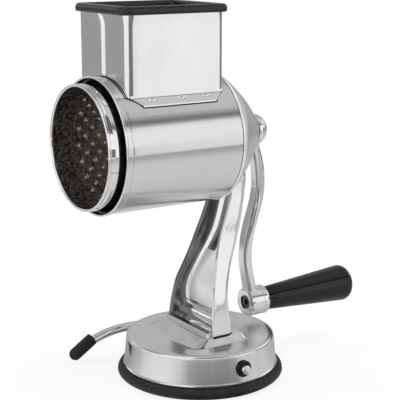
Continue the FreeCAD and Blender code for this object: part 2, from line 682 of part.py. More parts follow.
def make_barrel():
    """Thin tube: rolled lip and hem in front, rounded rim and inward flange behind."""
    r, t = BARREL_R, BARREL_T
    y0, y1 = BARREL_FRONT_Y, HEAD_SEAT_Y
    rim = r + REAR_RIM_T
    skin = turned([
        (y0, 0), (y0, r + BARREL_COLLAR_T), (y0 + BARREL_COLLAR - 0.4, r + BARREL_COLLAR_T),
        (y0 + BARREL_COLLAR, r), (REAR_RIM_Y - 0.5, r), (REAR_RIM_Y, rim), (REAR_RIM_Y + 1.0, rim),
        (REAR_RIM_Y + 2.0, r - 0.6), (REAR_RIM_Y + 2.7, r - 1.6), (y1, r - 2.4), (y1, 0),
    ])
    room = turned([(y0 - 1, 0), (y0 - 1, r - t), (y1 - BACK_FLANGE_T - 1.4, r - t),
                   (y1 - BACK_FLANGE_T, r - t - 2.2), (y1 - BACK_FLANGE_T, 0)])
    lip = Part.makeTorus(r + BARREL_COLLAR_T - LIP_R + 0.5, LIP_R, V(0, y0 + 0.3, DRUM_AXIS_Z), AX_Y)
    barrel = skin.fuse(lip).cut(room)
    lip_room = rod(r - t, V(0, y0 - 3, DRUM_AXIS_Z), V(0, y0 + 3, DRUM_AXIS_Z))
    back_hole = rod(BACK_FLANGE_IN_R, V(0, y1 - 5, DRUM_AXIS_Z), V(0, y1 + 1, DRUM_AXIS_Z))
    barrel = barrel.cut(lip_room).cut(back_hole)
    edge = HOPPER_T + HOPPER_PASSAGE_EDGE
    passage = rounded_wire((-HOPPER_HALF_X + edge, HOPPER_HALF_X - edge),
                           (HOPPER_Y[0] + edge, HOPPER_Y[1] - edge), 4.0, DRUM_AXIS_Z)
    barrel = barrel.cut(Part.Face(passage).extrude(V(0, 0, BARREL_R + 5)))
    for place in barrel_screw_places(y1 - 3):
        barrel = barrel.cut(rod(BARREL_SCREW_R + SCREW_HOLE_GAP, place, place + V(0, 5, 0)))
    return barrel.removeSplitter()


def make_barrel_screws():
    """Pan-head screws through the barrel's flange into the head."""
    under = HEAD_SEAT_Y - BACK_FLANGE_T - SEAT_GAP
    screws = []
    for place in barrel_screw_places(under):
        end = V(place.x, HEAD_SEAT_Y + BARREL_SCREW_DEPTH - 0.5, place.z)
        shank = rod(BARREL_SCREW_R, place, end)
        front = place - V(0, BARREL_SCREW_HEAD_H, 0)
        head = rod(BARREL_SCREW_HEAD_R, front, place)
        slot = Part.makeBox(1.0, 1.0, 5.6, V(place.x - 0.5, front.y, place.z - 2.8))
        cross = Part.makeBox(5.6, 1.0, 1.0, V(place.x - 2.8, front.y, place.z - 0.5))
        screws.append(shank.fuse(head).cut(slot).cut(cross))
    return Part.makeCompound(screws)


# --------------------------------------------------------------------- hopper
def hopper_wire(z, spread, inset, corner):
    """Plan of the hopper's sheet: a rectangle whose front has a lapped seam."""
    x = HOPPER_HALF_X + spread - inset
    y0, y1 = HOPPER_Y[0] - spread + inset, HOPPER_Y[1] + spread - inset
    y_left = y0 - HOPPER_SEAM_STEP
    half = HOPPER_SEAM_W / 2
    r = corner
    k = r * (1 - math.sqrt(0.5))
    points = (
        (V(x - r, y0, z), V(x - k, y0 + k, z), V(x, y0 + r, z)),
        (V(x, y1 - r, z), V(x - k, y1 - k, z), V(x - r, y1, z)),
        (V(-x + r, y1, z), V(-x + k, y1 - k, z), V(-x, y1 - r, z)),
        (V(-x, y_left + r, z), V(-x + k, y_left + k, z), V(-x + r, y_left, z)),
    )
    edges = []
    for i, (start, middle, end) in enumerate(points):
        edges.append(Part.Arc(start, middle, end).toShape())
        if i < 3:
            edges.append(Part.LineSegment(end, points[i + 1][0]).toShape())
    left, right = V(-half, y_left, z), V(half, y0, z)
    for a, b in ((points[3][2], left), (left, right), (right, points[0][0])):
        edges.append(Part.LineSegment(a, b).toShape())
    return Part.Wire(edges)


def hopper_block(inset):
    """Solid inside the hopper's plan: straight below, flared near the top."""
    r = HOPPER_CORNER_R - inset
    flare_z = HOPPER_TOP_Z - HOPPER_FLARE_H
    grow = HOPPER_CORNER_GROWTH
    steps = ((flare_z, 0.0, 0.0), (flare_z + HOPPER_FLARE_H * 0.4, 0.22, 0.25),
             (flare_z + HOPPER_FLARE_H * 0.75, 0.8, 0.75), (HOPPER_TOP_Z, 1.0, 1.0))
    low = Part.Face(hopper_wire(DRUM_AXIS_Z, 0.0, inset, r)).extrude(V(0, 0, flare_z - DRUM_AXIS_Z))
    wires = [hopper_wire(z, HOPPER_FLARE * a, inset, r + grow * b) for z, a, b in steps]
    return low.fuse(Part.makeLoft(wires, True, False)).removeSplitter()


def drum_cylinder(radius, y0, y1):
    return rod(radius, V(0, y0, DRUM_AXIS_Z), V(0, y1, DRUM_AXIS_Z))


def make_hopper():
    """Sheet box standing on the barrel, with side flanges bent along it."""
    inner_r = BARREL_R + SEAT_GAP
    below = drum_cylinder(inner_r, HOPPER_Y[0] - 10, HOPPER_Y[1] + 10)
    walls = hopper_block(0.0).cut(hopper_block(HOPPER_T)).cut(below)
    ring = drum_cylinder(inner_r + HOPPER_T, HOPPER_Y[0], HOPPER_Y[1]).cut(below)
    bend_angle = math.asin((HOPPER_HALF_X - HOPPER_T) / inner_r)
    end_angle = math.radians(FLANGE_END_ANGLE)
    far = inner_r * 2
    y0, y1, c = HOPPER_Y[0], HOPPER_Y[1], FLANGE_CHAMFER
    z_top = DRUM_AXIS_Z + inner_r * math.cos(bend_angle)
    z_low = DRUM_AXIS_Z + inner_r * math.cos(end_angle) - 0.4
    hopper = walls
    for side in (-1, 1):
        wedge = Part.makePolygon([
            V(0, y0 - 5, DRUM_AXIS_Z),
            V(side * far * math.sin(bend_angle), y0 - 5, DRUM_AXIS_Z + far * math.cos(bend_angle)),
            V(side * far * math.sin(end_angle), y0 - 5, DRUM_AXIS_Z + far * math.cos(end_angle)),
            V(0, y0 - 5, DRUM_AXIS_Z),
        ])
        wedge = Part.Face(wedge).extrude(V(0, y1 - y0 + 10, 0))
        shape = Part.makePolygon([
            V(0, y0 + 1.2, z_top + 2), V(0, y1 - 1.2, z_top + 2), V(0, y1 - c * 0.25, z_top - 1.2),
            V(0, y1 - c - 1.2, z_low), V(0, y0 + c, z_low), V(0, y0 + 1.2, z_top - 1.2),
            V(0, y0 + 1.2, z_top + 2),
        ])
        shape = Part.Face(shape).extrude(V(side * far, 0, 0))
        hopper = hopper.fuse(ring.common(wedge).common(shape))
        for y in DIMPLE_Y:
            bend = V(side * (HOPPER_HALF_X + 0.3), y, z_top + 0.4)
            gusset = Part.makeCone(DIMPLE_R, 0.5, 2.4, bend + V(-side * 1.6, 0, -0.8), V(side, 0, 0.8))
            hopper = hopper.fuse(gusset.cut(hopper_block(HOPPER_T)).cut(below))
    return hopper.removeSplitter()


def make_hopper_trim(hopper):
    """Edge trim with a slot that the sheet fills."""
    top = HOPPER_TOP_Z + TRIM_CAP
    low = top - TRIM_H
    flare = HOPPER_FLARE + TRIM_OUT
    x_out = HOPPER_HALF_X + flare
    y_out = (HOPPER_Y[0] - HOPPER_SEAM_STEP - flare, HOPPER_Y[1] + flare)
    inside = HOPPER_HALF_X - HOPPER_T - TRIM_IN
    y_in = (HOPPER_Y[0] + HOPPER_T + TRIM_IN, HOPPER_Y[1] - HOPPER_T - TRIM_IN)
    outer = Part.Face(rounded_wire((-x_out, x_out), y_out, TRIM_CORNER_R, low)).extrude(V(0, 0, TRIM_H))
    top_edges = [e for e in outer.Edges if abs(e.BoundBox.ZMin - top) < 0.01]
    low_edges = [e for e in outer.Edges if abs(e.BoundBox.ZMax - low) < 0.01]
    outer = outer.makeFillet(1.6, top_edges).makeFillet(0.8, low_edges)
    inner = Part.Face(rounded_wire((-inside, inside), y_in, 3.0, low - 1)).extrude(V(0, 0, TRIM_H + 2))
    trim = outer.cut(inner).cut(hopper)
    return max(trim.Solids, key=lambda solid: solid.Volume)


# ----------------------------------------------------------------------- drum
def pyramid(base_r, tip_r, low, high, shift):
    """Blunt pyramid that points away from the drum's axis."""
    wires = []
    for radius, z in ((base_r, low), (tip_r, high)):
        points = []
        for i in range(TOOTH_SIDES + 1):
            angle = 2 * math.pi * i / TOOTH_SIDES
            points.append(V(radius * math.cos(angle), radius * math.sin(angle), DRUM_AXIS_Z + z) + shift)
        wires.append(Part.makePolygon(points))
    return Part.makeLoft(wires, True, True)


def tooth_rows():
    """Places of the rows along the drum."""
    first = DRUM_FRONT_Y + TOOTH_FIRST_Y
    room = DRUM_BACK_Y - TOOTH_LAST_Y - first
    return [first + i * TOOTH_PITCH_Y for i in range(int(room / TOOTH_PITCH_Y) + 1)]


def make_drum_shell():
    """Thin tube pierced by staggered rows of outward teeth.

    One slice of it holds a tooth of every row; its skin is repeated round the axis.
    """
    y0 = DRUM_FRONT_Y + RIM_BEAD_R
    y1 = DRUM_BACK_Y - DRUM_BACK_T - SEAT_GAP
    step = 360.0 / TOOTH_COUNT
    centre = V(0, 0, DRUM_AXIS_Z)
    inner = DRUM_R - DRUM_T
    start, reach = -step / 4, DRUM_R * 2
    sides = []
    for degrees in (start, start + step):
        angle = math.radians(degrees)
        sides.append(V(reach * math.sin(angle), y0 - 5, DRUM_AXIS_Z + reach * math.cos(angle)))
    corner = V(0, y0 - 5, DRUM_AXIS_Z)
    wedge = Part.Face(Part.makePolygon([corner, sides[0], sides[1], corner]))
    wedge = wedge.extrude(V(0, y1 - y0 + 10, 0))
    slice_skin = drum_cylinder(DRUM_R, y0, y1).common(wedge)
    burrs, holes = [], []
    for row, y in enumerate(tooth_rows()):
        turn = step / 2 if row % 2 else 0.0
        burr = pyramid(TOOTH_BASE_R, TOOTH_TIP_R, inner + DRUM_T / 2, DRUM_R + TOOTH_H, V(0, y, 0))
        hole = pyramid(TOOTH_DIMPLE_R, TOOTH_HOLE_R, inner - 0.3, DRUM_R + TOOTH_H + 0.2, V(0, y, 0))
        for shape, made in ((burr, burrs), (hole, holes)):
            shape.rotate(centre, AX_Y, turn)
            made.append(shape)
    slice_skin = slice_skin.fuse(burrs).cut(drum_cylinder(inner, y0 - 1, y1 + 1)).cut(holes)
    skin = [face for face in slice_skin.Faces if not on_cut(face, start, step)]
    faces = []
    for i in range(TOOTH_COUNT):
        for face in skin:
            copy = face.copy()
            copy.rotate(centre, AX_Y, step * i)
            faces.append(copy)
    whole = Part.makeCompound(faces)
    whole.sewShape()
    return Part.Solid(whole.Shells[0])


def on_cut(face, start, step):
    """Whether a face of the slice lies on one of its two radial cuts."""
    place = face.CenterOfMass
    degrees = math.degrees(math.atan2(place.x, place.z - DRUM_AXIS_Z))
    return min(abs(degrees - start), abs(degrees - start - step)) < 0.001


def make_drum_rim():
    """Polished ring over the drum's front edge, with a rolled bead."""
    y0 = DRUM_FRONT_Y + RIM_BEAD_R
    inner = DRUM_R + SEAT_GAP
    outer = inner + RIM_BAND_T
    band = tube(outer, inner, V(0, y0, DRUM_AXIS_Z), V(0, DRUM_FRONT_Y + RIM_BAND_W, DRUM_AXIS_Z))
    bead = Part.makeTorus(DRUM_R - DRUM_T + RIM_BEAD_R, RIM_BEAD_R, V(0, y0, DRUM_AXIS_Z), AX_Y)
    shell_room = drum_cylinder(inner, y0, y0 + 5).cut(drum_cylinder(DRUM_R - DRUM_T - SEAT_GAP, y0, y0 + 5))
    return band.fuse(bead.cut(shell_room)).removeSplitter()


def square_prism(half, y0, y1):
    z = DRUM_AXIS_Z
    return block((-half, half), (y0, y1), (z - half, z + half))


def rivet_points(y):
    points = []
    for i in range(RIVET_COUNT):
        angle = math.radians(45 + 360.0 * i / RIVET_COUNT)
        points.append(V(RIVET_PCD_R * math.cos(angle), y, DRUM_AXIS_Z + RIVET_PCD_R * math.sin(angle)))
    return points


def make_drum_back():
    """Rear plate of the drum with a turned edge and a hole for the shaft."""
    y1 = DRUM_BACK_Y
    y0 = y1 - DRUM_BACK_T
    inner = DRUM_R - DRUM_T - SEAT_GAP
    plate = drum_cylinder(DRUM_R, y0, y1)
    edge = drum_cylinder(inner, y0 - 5, y0).cut(drum_cylinder(inner - 1.0, y0 - 6, y0))
    plate = plate.fuse(edge).cut(square_prism(SOCKET_HALF, y0 - 1, y1 + 1))
    for point in rivet_points(y0 - 1):
        plate = plate.cut(rod(RIVET_R, point, point + V(0, 4, 0)))
    return plate.removeSplitter()


def make_drum_hub():
    """Socket that fits the shaft's square end."""
    y1 = DRUM_BACK_Y - DRUM_BACK_T - SEAT_GAP
    y0 = y1 - HUB_LENGTH
    hub = drum_cylinder(HUB_R, y0, y1)
    hub = hub.makeFillet(1.5, [e for e in hub.Edges if abs(e.BoundBox.YMax - y0) < 0.01])
    hub = hub.cut(square_prism(SOCKET_HALF, y0 + 3.0, y1 + 1))
    groove_y = SHAFT_COLLAR_FRONT_Y - DETENT_BACK
    notch = rod(DETENT_BALL_R + 0.4, V(0, groove_y, DRUM_AXIS_Z + SOCKET_HALF - 1),
                V(0, groove_y, DRUM_AXIS_Z + SOCKET_HALF + 1.6))
    hub = hub.cut(notch)
    for point in rivet_points(DRUM_BACK_Y - RIVET_LENGTH):
        hub = hub.cut(rod(RIVET_R, point, point + V(0, RIVET_LENGTH, 0)))
    return hub


def make_drum_rivets():
    """Flush rivets through the rear plate into the hub."""
    rivets = []
    for point in rivet_points(DRUM_BACK_Y - RIVET_LENGTH):
        rivets.append(rod(RIVET_R, point, point + V(0, RIVET_LENGTH, 0)))
    return Part.makeCompound(rivets)


# ---------------------------------------------------------------- drive shaft
ARM_HUB_FRONT_Y = HEAD_END_Y + WASHER_T + 2 * AXIAL_GAP
ARM_HUB_BACK_Y = ARM_HUB_FRONT_Y + ARM_HUB_T


def on_axis(y):
    return V(0, y, DRUM_AXIS_Z)


def make_drive_shaft():
    """Shaft with a collar, a square front end and a threaded rear end."""
    collar_back = HEAD_BOSS_FRONT_Y - SEAT_GAP - SHAFT_BUSH_FLANGE_T - AXIAL_GAP
    shaft = drum_cylinder(SHAFT_R, collar_back, ARM_HUB_FRONT_Y)
    shaft = shaft.fuse(drum_cylinder(SHAFT_COLLAR_R, SHAFT_COLLAR_FRONT_Y, collar_back))
    square_front = SHAFT_COLLAR_FRONT_Y - SHAFT_SQUARE_LENGTH
    shaft = shaft.fuse(square_prism(SHAFT_SQUARE_HALF, square_front, SHAFT_COLLAR_FRONT_Y))
    shaft = shaft.fuse(square_prism(SHAFT_R * 0.66, ARM_HUB_FRONT_Y, ARM_HUB_BACK_Y))
    shaft = shaft.fuse(drum_cylinder(SHAFT_THREAD_R * 0.9, ARM_HUB_BACK_Y, ARM_HUB_BACK_Y + CAP_H * 0.6))
    y = SHAFT_COLLAR_FRONT_Y - DETENT_BACK
    bore = rod(DETENT_BORE_R, V(0, y, DRUM_AXIS_Z - 3.0), V(0, y, DRUM_AXIS_Z + SHAFT_SQUARE_HALF + 1))
    return shaft.cut(bore).removeSplitter()


def detent_ball_z():
    return DRUM_AXIS_Z + SHAFT_SQUARE_HALF + DETENT_PROUD - DETENT_BALL_R


def make_detent_ball():
    return Part.makeSphere(DETENT_BALL_R, V(0, SHAFT_COLLAR_FRONT_Y - DETENT_BACK, detent_ball_z()))


def make_detent_spring():
    """Coil under the ball."""
    y = SHAFT_COLLAR_FRONT_Y - DETENT_BACK
    low = DRUM_AXIS_Z - 3.0 + DETENT_WIRE_R + 0.02
    height = detent_ball_z() - DETENT_BALL_R - low - DETENT_WIRE_R
    radius = DETENT_BORE_R - DETENT_WIRE_R - 0.15
    helix = Part.makeHelix(height / 3.0, height, radius)
    section = Part.Wire(Part.Circle(V(radius, 0, 0), AX_Y, DETENT_WIRE_R).toShape())
    coil = Part.Wire(helix.Edges).makePipeShell([section], True, True)
    coil.translate(V(0, y, low))
    return coil


def make_crank_washer():
    front = on_axis(HEAD_END_Y + AXIAL_GAP)
    return tube(WASHER_R, SHAFT_R + RUN_GAP, front, front + V(0, WASHER_T, 0))


# ---------------------------------------------------------------------- crank
COLLAR_FRONT_Y = BOSS_FRONT_Y + BOSS_LENGTH + SEAT_GAP
GRIP_FRONT_Y = COLLAR_FRONT_Y + COLLAR_LENGTH + AXIAL_GAP


def on_grip(y):
    return V(0, y, GRIP_Z)


def make_crank_arm():
    """Cast arm: hub, a body that bends in and out again, and the grip's boss."""
    wires = []
    for below, y, width, depth in ARM_STATIONS:
        round_off = min(ARM_ROUND, depth * 0.4)
        wires.append(rounded_wire((-width / 2, width / 2), (y - depth / 2, y + depth / 2),
                                  round_off, DRUM_AXIS_Z - below * ARM_STRETCH))
    body = Part.makeLoft(wires, True, False)
    hub = rod(ARM_HUB_R, on_axis(ARM_HUB_FRONT_Y), on_axis(ARM_HUB_BACK_Y))
    hub = hub.makeFillet(0.8, [e for e in hub.Edges if abs(e.BoundBox.YMax - ARM_HUB_FRONT_Y) < 0.01])
    boss = rod(BOSS_R, on_grip(BOSS_FRONT_Y), on_grip(BOSS_FRONT_Y + BOSS_LENGTH))
    front_edges = [e for e in boss.Edges if abs(e.BoundBox.YMax - BOSS_FRONT_Y) < 0.01]
    boss = boss.makeFillet(BOSS_ROUND, front_edges)
    washer_room = rod(WASHER_R + 4, on_axis(HEAD_END_Y - 9), on_axis(ARM_HUB_FRONT_Y))
    body = body.cut(washer_room).cut(cap_solid())
    body = max(body.Solids, key=lambda solid: solid.Volume)
    arm = body.fuse([hub, boss])
    hole = square_prism(SHAFT_R * 0.66 + 0.03, ARM_HUB_FRONT_Y - 1, ARM_HUB_BACK_Y + 1)
    arm = arm.cut(hole)
    arm = arm.cut(rod(SCREW_R + 0.05, on_grip(BOSS_FRONT_Y - 1), on_grip(BOSS_FRONT_Y + BOSS_LENGTH + 1)))
    arm = arm.cut(rod(RECESS_R, on_grip(BOSS_FRONT_Y - 8), on_grip(BOSS_FRONT_Y + RECESS_DEPTH)))
    return arm.removeSplitter()


def cap_solid():
    """Dome that covers the hub, without its thread."""
    z = DRUM_AXIS_Z
    y0, r = ARM_HUB_BACK_Y + SEAT_GAP, ARM_HUB_R - CAP_STEP
    base, edge, shoulder = V(0, y0, z), V(0, y0, z + r), V(0, y0 + CAP_EDGE_H, z + r)
    outline = [Part.LineSegment(base, edge).toShape(), Part.LineSegment(edge, shoulder).toShape()]
    outline += dome(shoulder, V(0, y0 + CAP_H * 0.78, z + r * 0.57), V(0, y0 + CAP_H, z))
    outline.append(Part.LineSegment(V(0, y0 + CAP_H, z), base).toShape())
    return revolved(outline, V(0, 0, z), AX_Y)


def make_crank_cap():
    """Domed nut on the shaft's thread."""
    thread = rod(SHAFT_THREAD_R * 0.9, on_axis(ARM_HUB_BACK_Y - 1), on_axis(ARM_HUB_BACK_Y + CAP_H * 0.6))
    return cap_solid().cut(thread)


def make_grip_screw():
    """Socket screw: head in the boss, plain spindle in the grip."""
    head_back = BOSS_FRONT_Y + RECESS_DEPTH - SEAT_GAP
    end = GRIP_FRONT_Y + GRIP_SPINDLE_LENGTH
    screw = rod(SCREW_HEAD_R, on_grip(head_back - SCREW_HEAD_H), on_grip(head_back))
    screw = screw.fuse(rod(SCREW_R, on_grip(head_back), on_grip(end)))
    corners = []
    for i in range(7):
        angle = math.radians(60 * i)
        reach = SCREW_HEX / math.cos(math.radians(30))
        corner = V(reach * math.cos(angle), -SCREW_HEAD_H, reach * math.sin(angle))
        corners.append(on_grip(head_back) + corner)
    hexagon = Part.Face(Part.makePolygon(corners)).extrude(V(0, SCREW_HEX_DEPTH, 0))
    low, high = on_grip(grip_ring_y() - 0.1), on_grip(grip_ring_y() + GRIP_RING_T + 0.1)
    return screw.cut(hexagon).cut(tube(SCREW_R + 1, SCREW_R - GROOVE_DEPTH, low, high))


def grip_ring_y():
    return GRIP_FRONT_Y + GRIP_SPINDLE_LENGTH - GRIP_RING_BACK


def make_grip_ring():
    """Snap ring in the spindle's groove, inside the grip."""
    y = grip_ring_y()
    return tube(GRIP_RING_R, SCREW_R - GROOVE_DEPTH + SEAT_GAP, on_grip(y), on_grip(y + GRIP_RING_T))


def make_grip_collar():
    """Polished collar on the screw between the boss and the grip."""
    front, back = on_grip(COLLAR_FRONT_Y), on_grip(COLLAR_FRONT_Y + COLLAR_LENGTH)
    collar = rod(BOSS_R, front, back)
    collar = collar.makeFillet(1.2, [e for e in collar.Edges if abs(e.BoundBox.YMin - back.y) < 0.01])
    return collar.cut(rod(SCREW_R + 0.05, front - AX_Y, back + AX_Y))


def make_grip():
    """Tapered grip with a crowned end and a stepped bore."""
    z, y0 = GRIP_Z, GRIP_FRONT_Y
    y1 = y0 + GRIP_LENGTH
    edge, crown_r = y1 - GRIP_END_CROWN, GRIP_R_FAR - GRIP_END_ROUND
    neck = V(0, y0, z + GRIP_R_NEAR - GRIP_NECK_CHAMFER)
    shoulder = V(0, y0 + GRIP_NECK_CHAMFER, z + GRIP_R_NEAR)
    wide = V(0, edge - GRIP_END_ROUND, z + GRIP_R_FAR)
    turn = V(0, edge - GRIP_END_ROUND * 0.29, z + GRIP_R_FAR - GRIP_END_ROUND * 0.29)
    crown = V(0, edge, z + crown_r)
    front, tip = on_grip(y0), on_grip(y1)
    outline = [
        Part.LineSegment(front, neck).toShape(),
        Part.LineSegment(neck, shoulder).toShape(),
        Part.LineSegment(shoulder, wide).toShape(),
        Part.Arc(wide, turn, crown).toShape(),
    ]
    outline += dome(crown, V(0, edge + GRIP_END_CROWN * 0.75, z + crown_r * 0.5), tip)
    outline.append(Part.LineSegment(tip, front).toShape())
    grip = revolved(outline, V(0, 0, GRIP_Z), AX_Y)
    bore = rod(SCREW_R + RUN_GAP, on_grip(y0 - 1), on_grip(y0 + GRIP_BORE_DEPTH))
    ring_y = grip_ring_y()
    pocket = rod(GRIP_RING_R + 0.25, on_grip(ring_y - 0.3), on_grip(y0 + GRIP_BORE_DEPTH))
    return grip.cut(bore).cut(pocket)


# ---------------------------------------------------------------------- nodes
def main():
    os.makedirs("parts", exist_ok=True)
    hopper = make_hopper()
    strut, head = make_stand()
    nodes = {
        "suction_pad": make_suction_pad(),
        "base_pan": make_base_pan(),
        "axle_bracket": make_axle_bracket(),
        "foot_washers": make_foot_washers(),
        "foot_screws": make_foot_screws(),
        "axle_bushes": make_axle_bushes(),
        "lever_rod": make_lever_rod(),
        "lever_tip": make_lever_tip(),
        "axle_clip": make_axle_clip(),
        "eccentric_cam": make_eccentric_cam(),
        "cam_pin": cam_pin_shape(0.0),
        "pad_lifter": make_pad_lifter(),
        "stand": strut,
        "stand_head": head,
        "shaft_bush": make_shaft_bush(),
        "barrel": make_barrel(),
        "barrel_screws": make_barrel_screws(),
        "hopper": hopper,
        "hopper_trim": make_hopper_trim(hopper),
        "drum_shell": make_drum_shell(),
        "drum_rim": make_drum_rim(),
        "drum_back": make_drum_back(),
        "drum_hub": make_drum_hub(),
        "drum_rivets": make_drum_rivets(),
        "drive_shaft": make_drive_shaft(),
        "detent_ball": make_detent_ball(),
        "detent_spring": make_detent_spring(),
        "crank_washer": make_crank_washer(),
        "crank_arm": make_crank_arm(),
        "crank_cap": make_crank_cap(),
        "grip_screw": make_grip_screw(),
        "grip_ring": make_grip_ring(),
        "grip_collar": make_grip_collar(),
        "grip": make_grip(),
    }
    for name, shape in nodes.items():
        save(name, shape)
        box = shape.BoundBox
        print("%-14s solids %d valid %s volume %.1f  z %.1f..%.1f" % (
            name, len(shape.Solids), shape.isValid(), shape.Volume, box.ZMin, box.ZMax))


main()
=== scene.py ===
import math
from collections import namedtuple

import bmesh
import bpy
from mathutils import Matrix, Vector


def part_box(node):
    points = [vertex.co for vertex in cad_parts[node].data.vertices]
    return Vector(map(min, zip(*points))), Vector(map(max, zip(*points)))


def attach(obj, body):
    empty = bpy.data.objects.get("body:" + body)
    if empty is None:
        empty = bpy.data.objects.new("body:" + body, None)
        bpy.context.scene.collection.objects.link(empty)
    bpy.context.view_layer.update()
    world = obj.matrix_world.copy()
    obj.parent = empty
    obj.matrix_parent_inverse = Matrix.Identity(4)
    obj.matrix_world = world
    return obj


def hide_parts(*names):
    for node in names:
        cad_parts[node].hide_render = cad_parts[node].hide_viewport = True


bl_info = {
    "name": "Drum shredder",
    "version": (1, 0, 0),
    "blender": (4, 5, 0),
    "location": "View3D > Sidebar > Shredder",
    "description": "Builds a hand-cranked drum shredder on a suction base",
    "category": "Object",
}

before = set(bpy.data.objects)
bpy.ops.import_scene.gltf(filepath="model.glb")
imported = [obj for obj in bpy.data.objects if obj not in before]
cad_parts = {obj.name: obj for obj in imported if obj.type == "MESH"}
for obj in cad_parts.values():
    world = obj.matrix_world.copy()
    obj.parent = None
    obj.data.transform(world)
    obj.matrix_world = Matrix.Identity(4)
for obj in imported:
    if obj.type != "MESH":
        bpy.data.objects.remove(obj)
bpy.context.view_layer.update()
MM = 0.001
X, Y, Z = Vector((1, 0, 0)), Vector((0, 1, 0)), Vector((0, 0, 1))


def cad_size(node, axis):
    low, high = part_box(node)
    return high[axis] - low[axis]


def length(name, default, description):
    """Property for a size in metres."""
    return bpy.props.FloatProperty(name=name, description=description, default=default, unit="LENGTH",
                                   precision=4)


def colour(name, default, description):
    """Property for a linear colour."""
    return bpy.props.FloatVectorProperty(name=name, description=description, default=default,
                                         subtype="COLOR", size=3, min=0.0, max=1.0)


class ShredderSizes(bpy.types.PropertyGroup):
    """Sizes that set the look of the pieces. They match the frame."""

    axis_height: length("Drum axis height", 0.1895, "Height of the drum's axis above the table")
    foot_radius: length("Foot radius", cad_size("suction_pad", 0) / 2, "Outer radius of the suction rubber")
    foot_height: length("Foot height", 0.0086, "Height of the rubber's raised rim")
    pan_radius: length("Pan radius", 0.0600, "Outer radius of the pan's wall at its foot")
    pan_shoulder: length("Pan shoulder radius", 0.0581, "Radius of the pan's wall at its shoulder")
    pan_height: length("Pan height", 0.0336, "Height of the pan's flat top")
    plateau: length("Plateau height", 0.0049, "Height of the raised pad under the stand")
    barrel_radius: length("Barrel radius", 0.0496, "Outer radius of the barrel")
    hopper_half_width: length("Hopper half width", 0.0342, "Half the hopper's width across the barrel")
    hopper_top: length("Hopper height", 0.2882, "Height of the hopper's upper edge")
    drum_radius: length("Drum radius", 0.0446, "Outer radius of the perforated drum")
    axle_height: length("Axle height", 0.0210, "Height of the suction lever's axle")
    lever_plane: length("Lever plane", -0.0705, "Sideways position of the lever's arm")
    crank_radius: length("Crank radius", 0.1400, "Distance from the drum's axis to the grip's axis")
    grip_length: length("Grip length", 0.0880, "Length of the black grip")


class ShredderColours(bpy.types.PropertyGroup):
    """Base colours of the finishes."""

    steel: colour("Brushed steel", (0.775, 0.77, 0.77), "Barrel")
    sheet: colour("Hopper sheet", (0.84, 0.825, 0.815), "Hopper")
    pan: colour("Pan steel", (0.79, 0.785, 0.805), "Base pan")
    cast: colour("Polished cast metal", (0.86, 0.86, 0.87), "Stand, crank and collar")
    # Darker than the other steels: painted shade of the drum's inside.
    drum: colour("Drum steel", (0.4, 0.362, 0.328), "Inside of the perforated drum")
    screw: colour("Oiled screw", (0.16, 0.125, 0.095), "Screw that the grip turns on")
    black: colour("Black plastic", (0.005, 0.005, 0.005), "Grip, trim and bushes")
    rubber: colour("Rubber", (0.018, 0.018, 0.019), "Suction foot and lever tip")
    floor: colour("Floor", (0.92, 0.92, 0.92), "Table under the object")


# ------------------------------------------------------------------ mesh helpers
def on_circle(centre, radius, degrees):
    angle = math.radians(degrees)
    return centre[0] + radius * math.cos(angle), centre[1] + radius * math.sin(angle)


def line(start, end, count):
    """Pairs from start towards end, without the end."""
    return [tuple(a + (b - a) * i / count for a, b in zip(start, end)) for i in range(count)]


def bend(centre, radius, first, turn, count, last=False):
    """Pairs on an arc, in degrees, without the last one unless it is asked for."""
    return [on_circle(centre, radius, first + turn * i / count) for i in range(count + last)]


def arc_points(start, middle, end, count):
    """Points on the circle through three points of an outline, both ends included."""
    (ax, ay), (bx, by), (cx, cy) = start, middle, end
    d = 2 * (ax * (by - cy) + bx * (cy - ay) + cx * (ay - by))
    a2, b2, c2 = ax * ax + ay * ay, bx * bx + by * by, cx * cx + cy * cy
    ux = (a2 * (by - cy) + b2 * (cy - ay) + c2 * (ay - by)) / d
    uy = (a2 * (cx - bx) + b2 * (ax - cx) + c2 * (bx - ax)) / d
    radius = math.hypot(ax - ux, ay - uy)
    first, via, last = (math.degrees(math.atan2(p[1] - uy, p[0] - ux)) for p in (start, middle, end))
    turn = (last - first) % 360
    if (via - first) % 360 > turn:
        turn -= 360
    return bend((ux, uy), radius, first, turn, count - 1, True)


def smooth_table(rows, step):
    """Rows of numbers, interpolated along their first column by a smooth curve."""
    made, value = [], rows[0][0]
    while value < rows[-1][0]:
        i = max(j for j in range(len(rows) - 1) if rows[j][0] <= value)
        before, low, high = rows[max(i - 1, 0)], rows[i], rows[i + 1]
        after = rows[min(i + 2, len(rows) - 1)]
        width = high[0] - low[0]
        t = (value - low[0]) / width
        row = [value]
        for k in range(1, len(low)):
            rise_low = (high[k] - before[k]) / (high[0] - before[0]) * width
            rise_high = (after[k] - low[k]) / (after[0] - low[0]) * width
            row.append((2 * t**3 - 3 * t**2 + 1) * low[k] + (t**3 - 2 * t**2 + t) * rise_low
                       + (3 * t**2 - 2 * t**3) * high[k] + (t**3 - t**2) * rise_high)
        made.append(row)
        value += step
    made.append(list(rows[-1]))
    return made


def tidy(bm, merge=1e-6):
    """Merges doubles and points all faces outwards."""
    bmesh.ops.remove_doubles(bm, verts=bm.verts, dist=merge)
    bmesh.ops.dissolve_degenerate(bm, edges=bm.edges, dist=merge)
    outwards(bm)


def outwards(bm):
    bmesh.ops.recalc_face_normals(bm, faces=bm.faces)


def thicken(bm, thickness):
    """Gives a sheet its thickness in millimetres, behind its outer face."""
    bmesh.ops.solidify(bm, geom=list(bm.faces), thickness=thickness * MM)


def moved_verts(made):
    return [item for item in made if isinstance(item, bmesh.types.BMVert)]


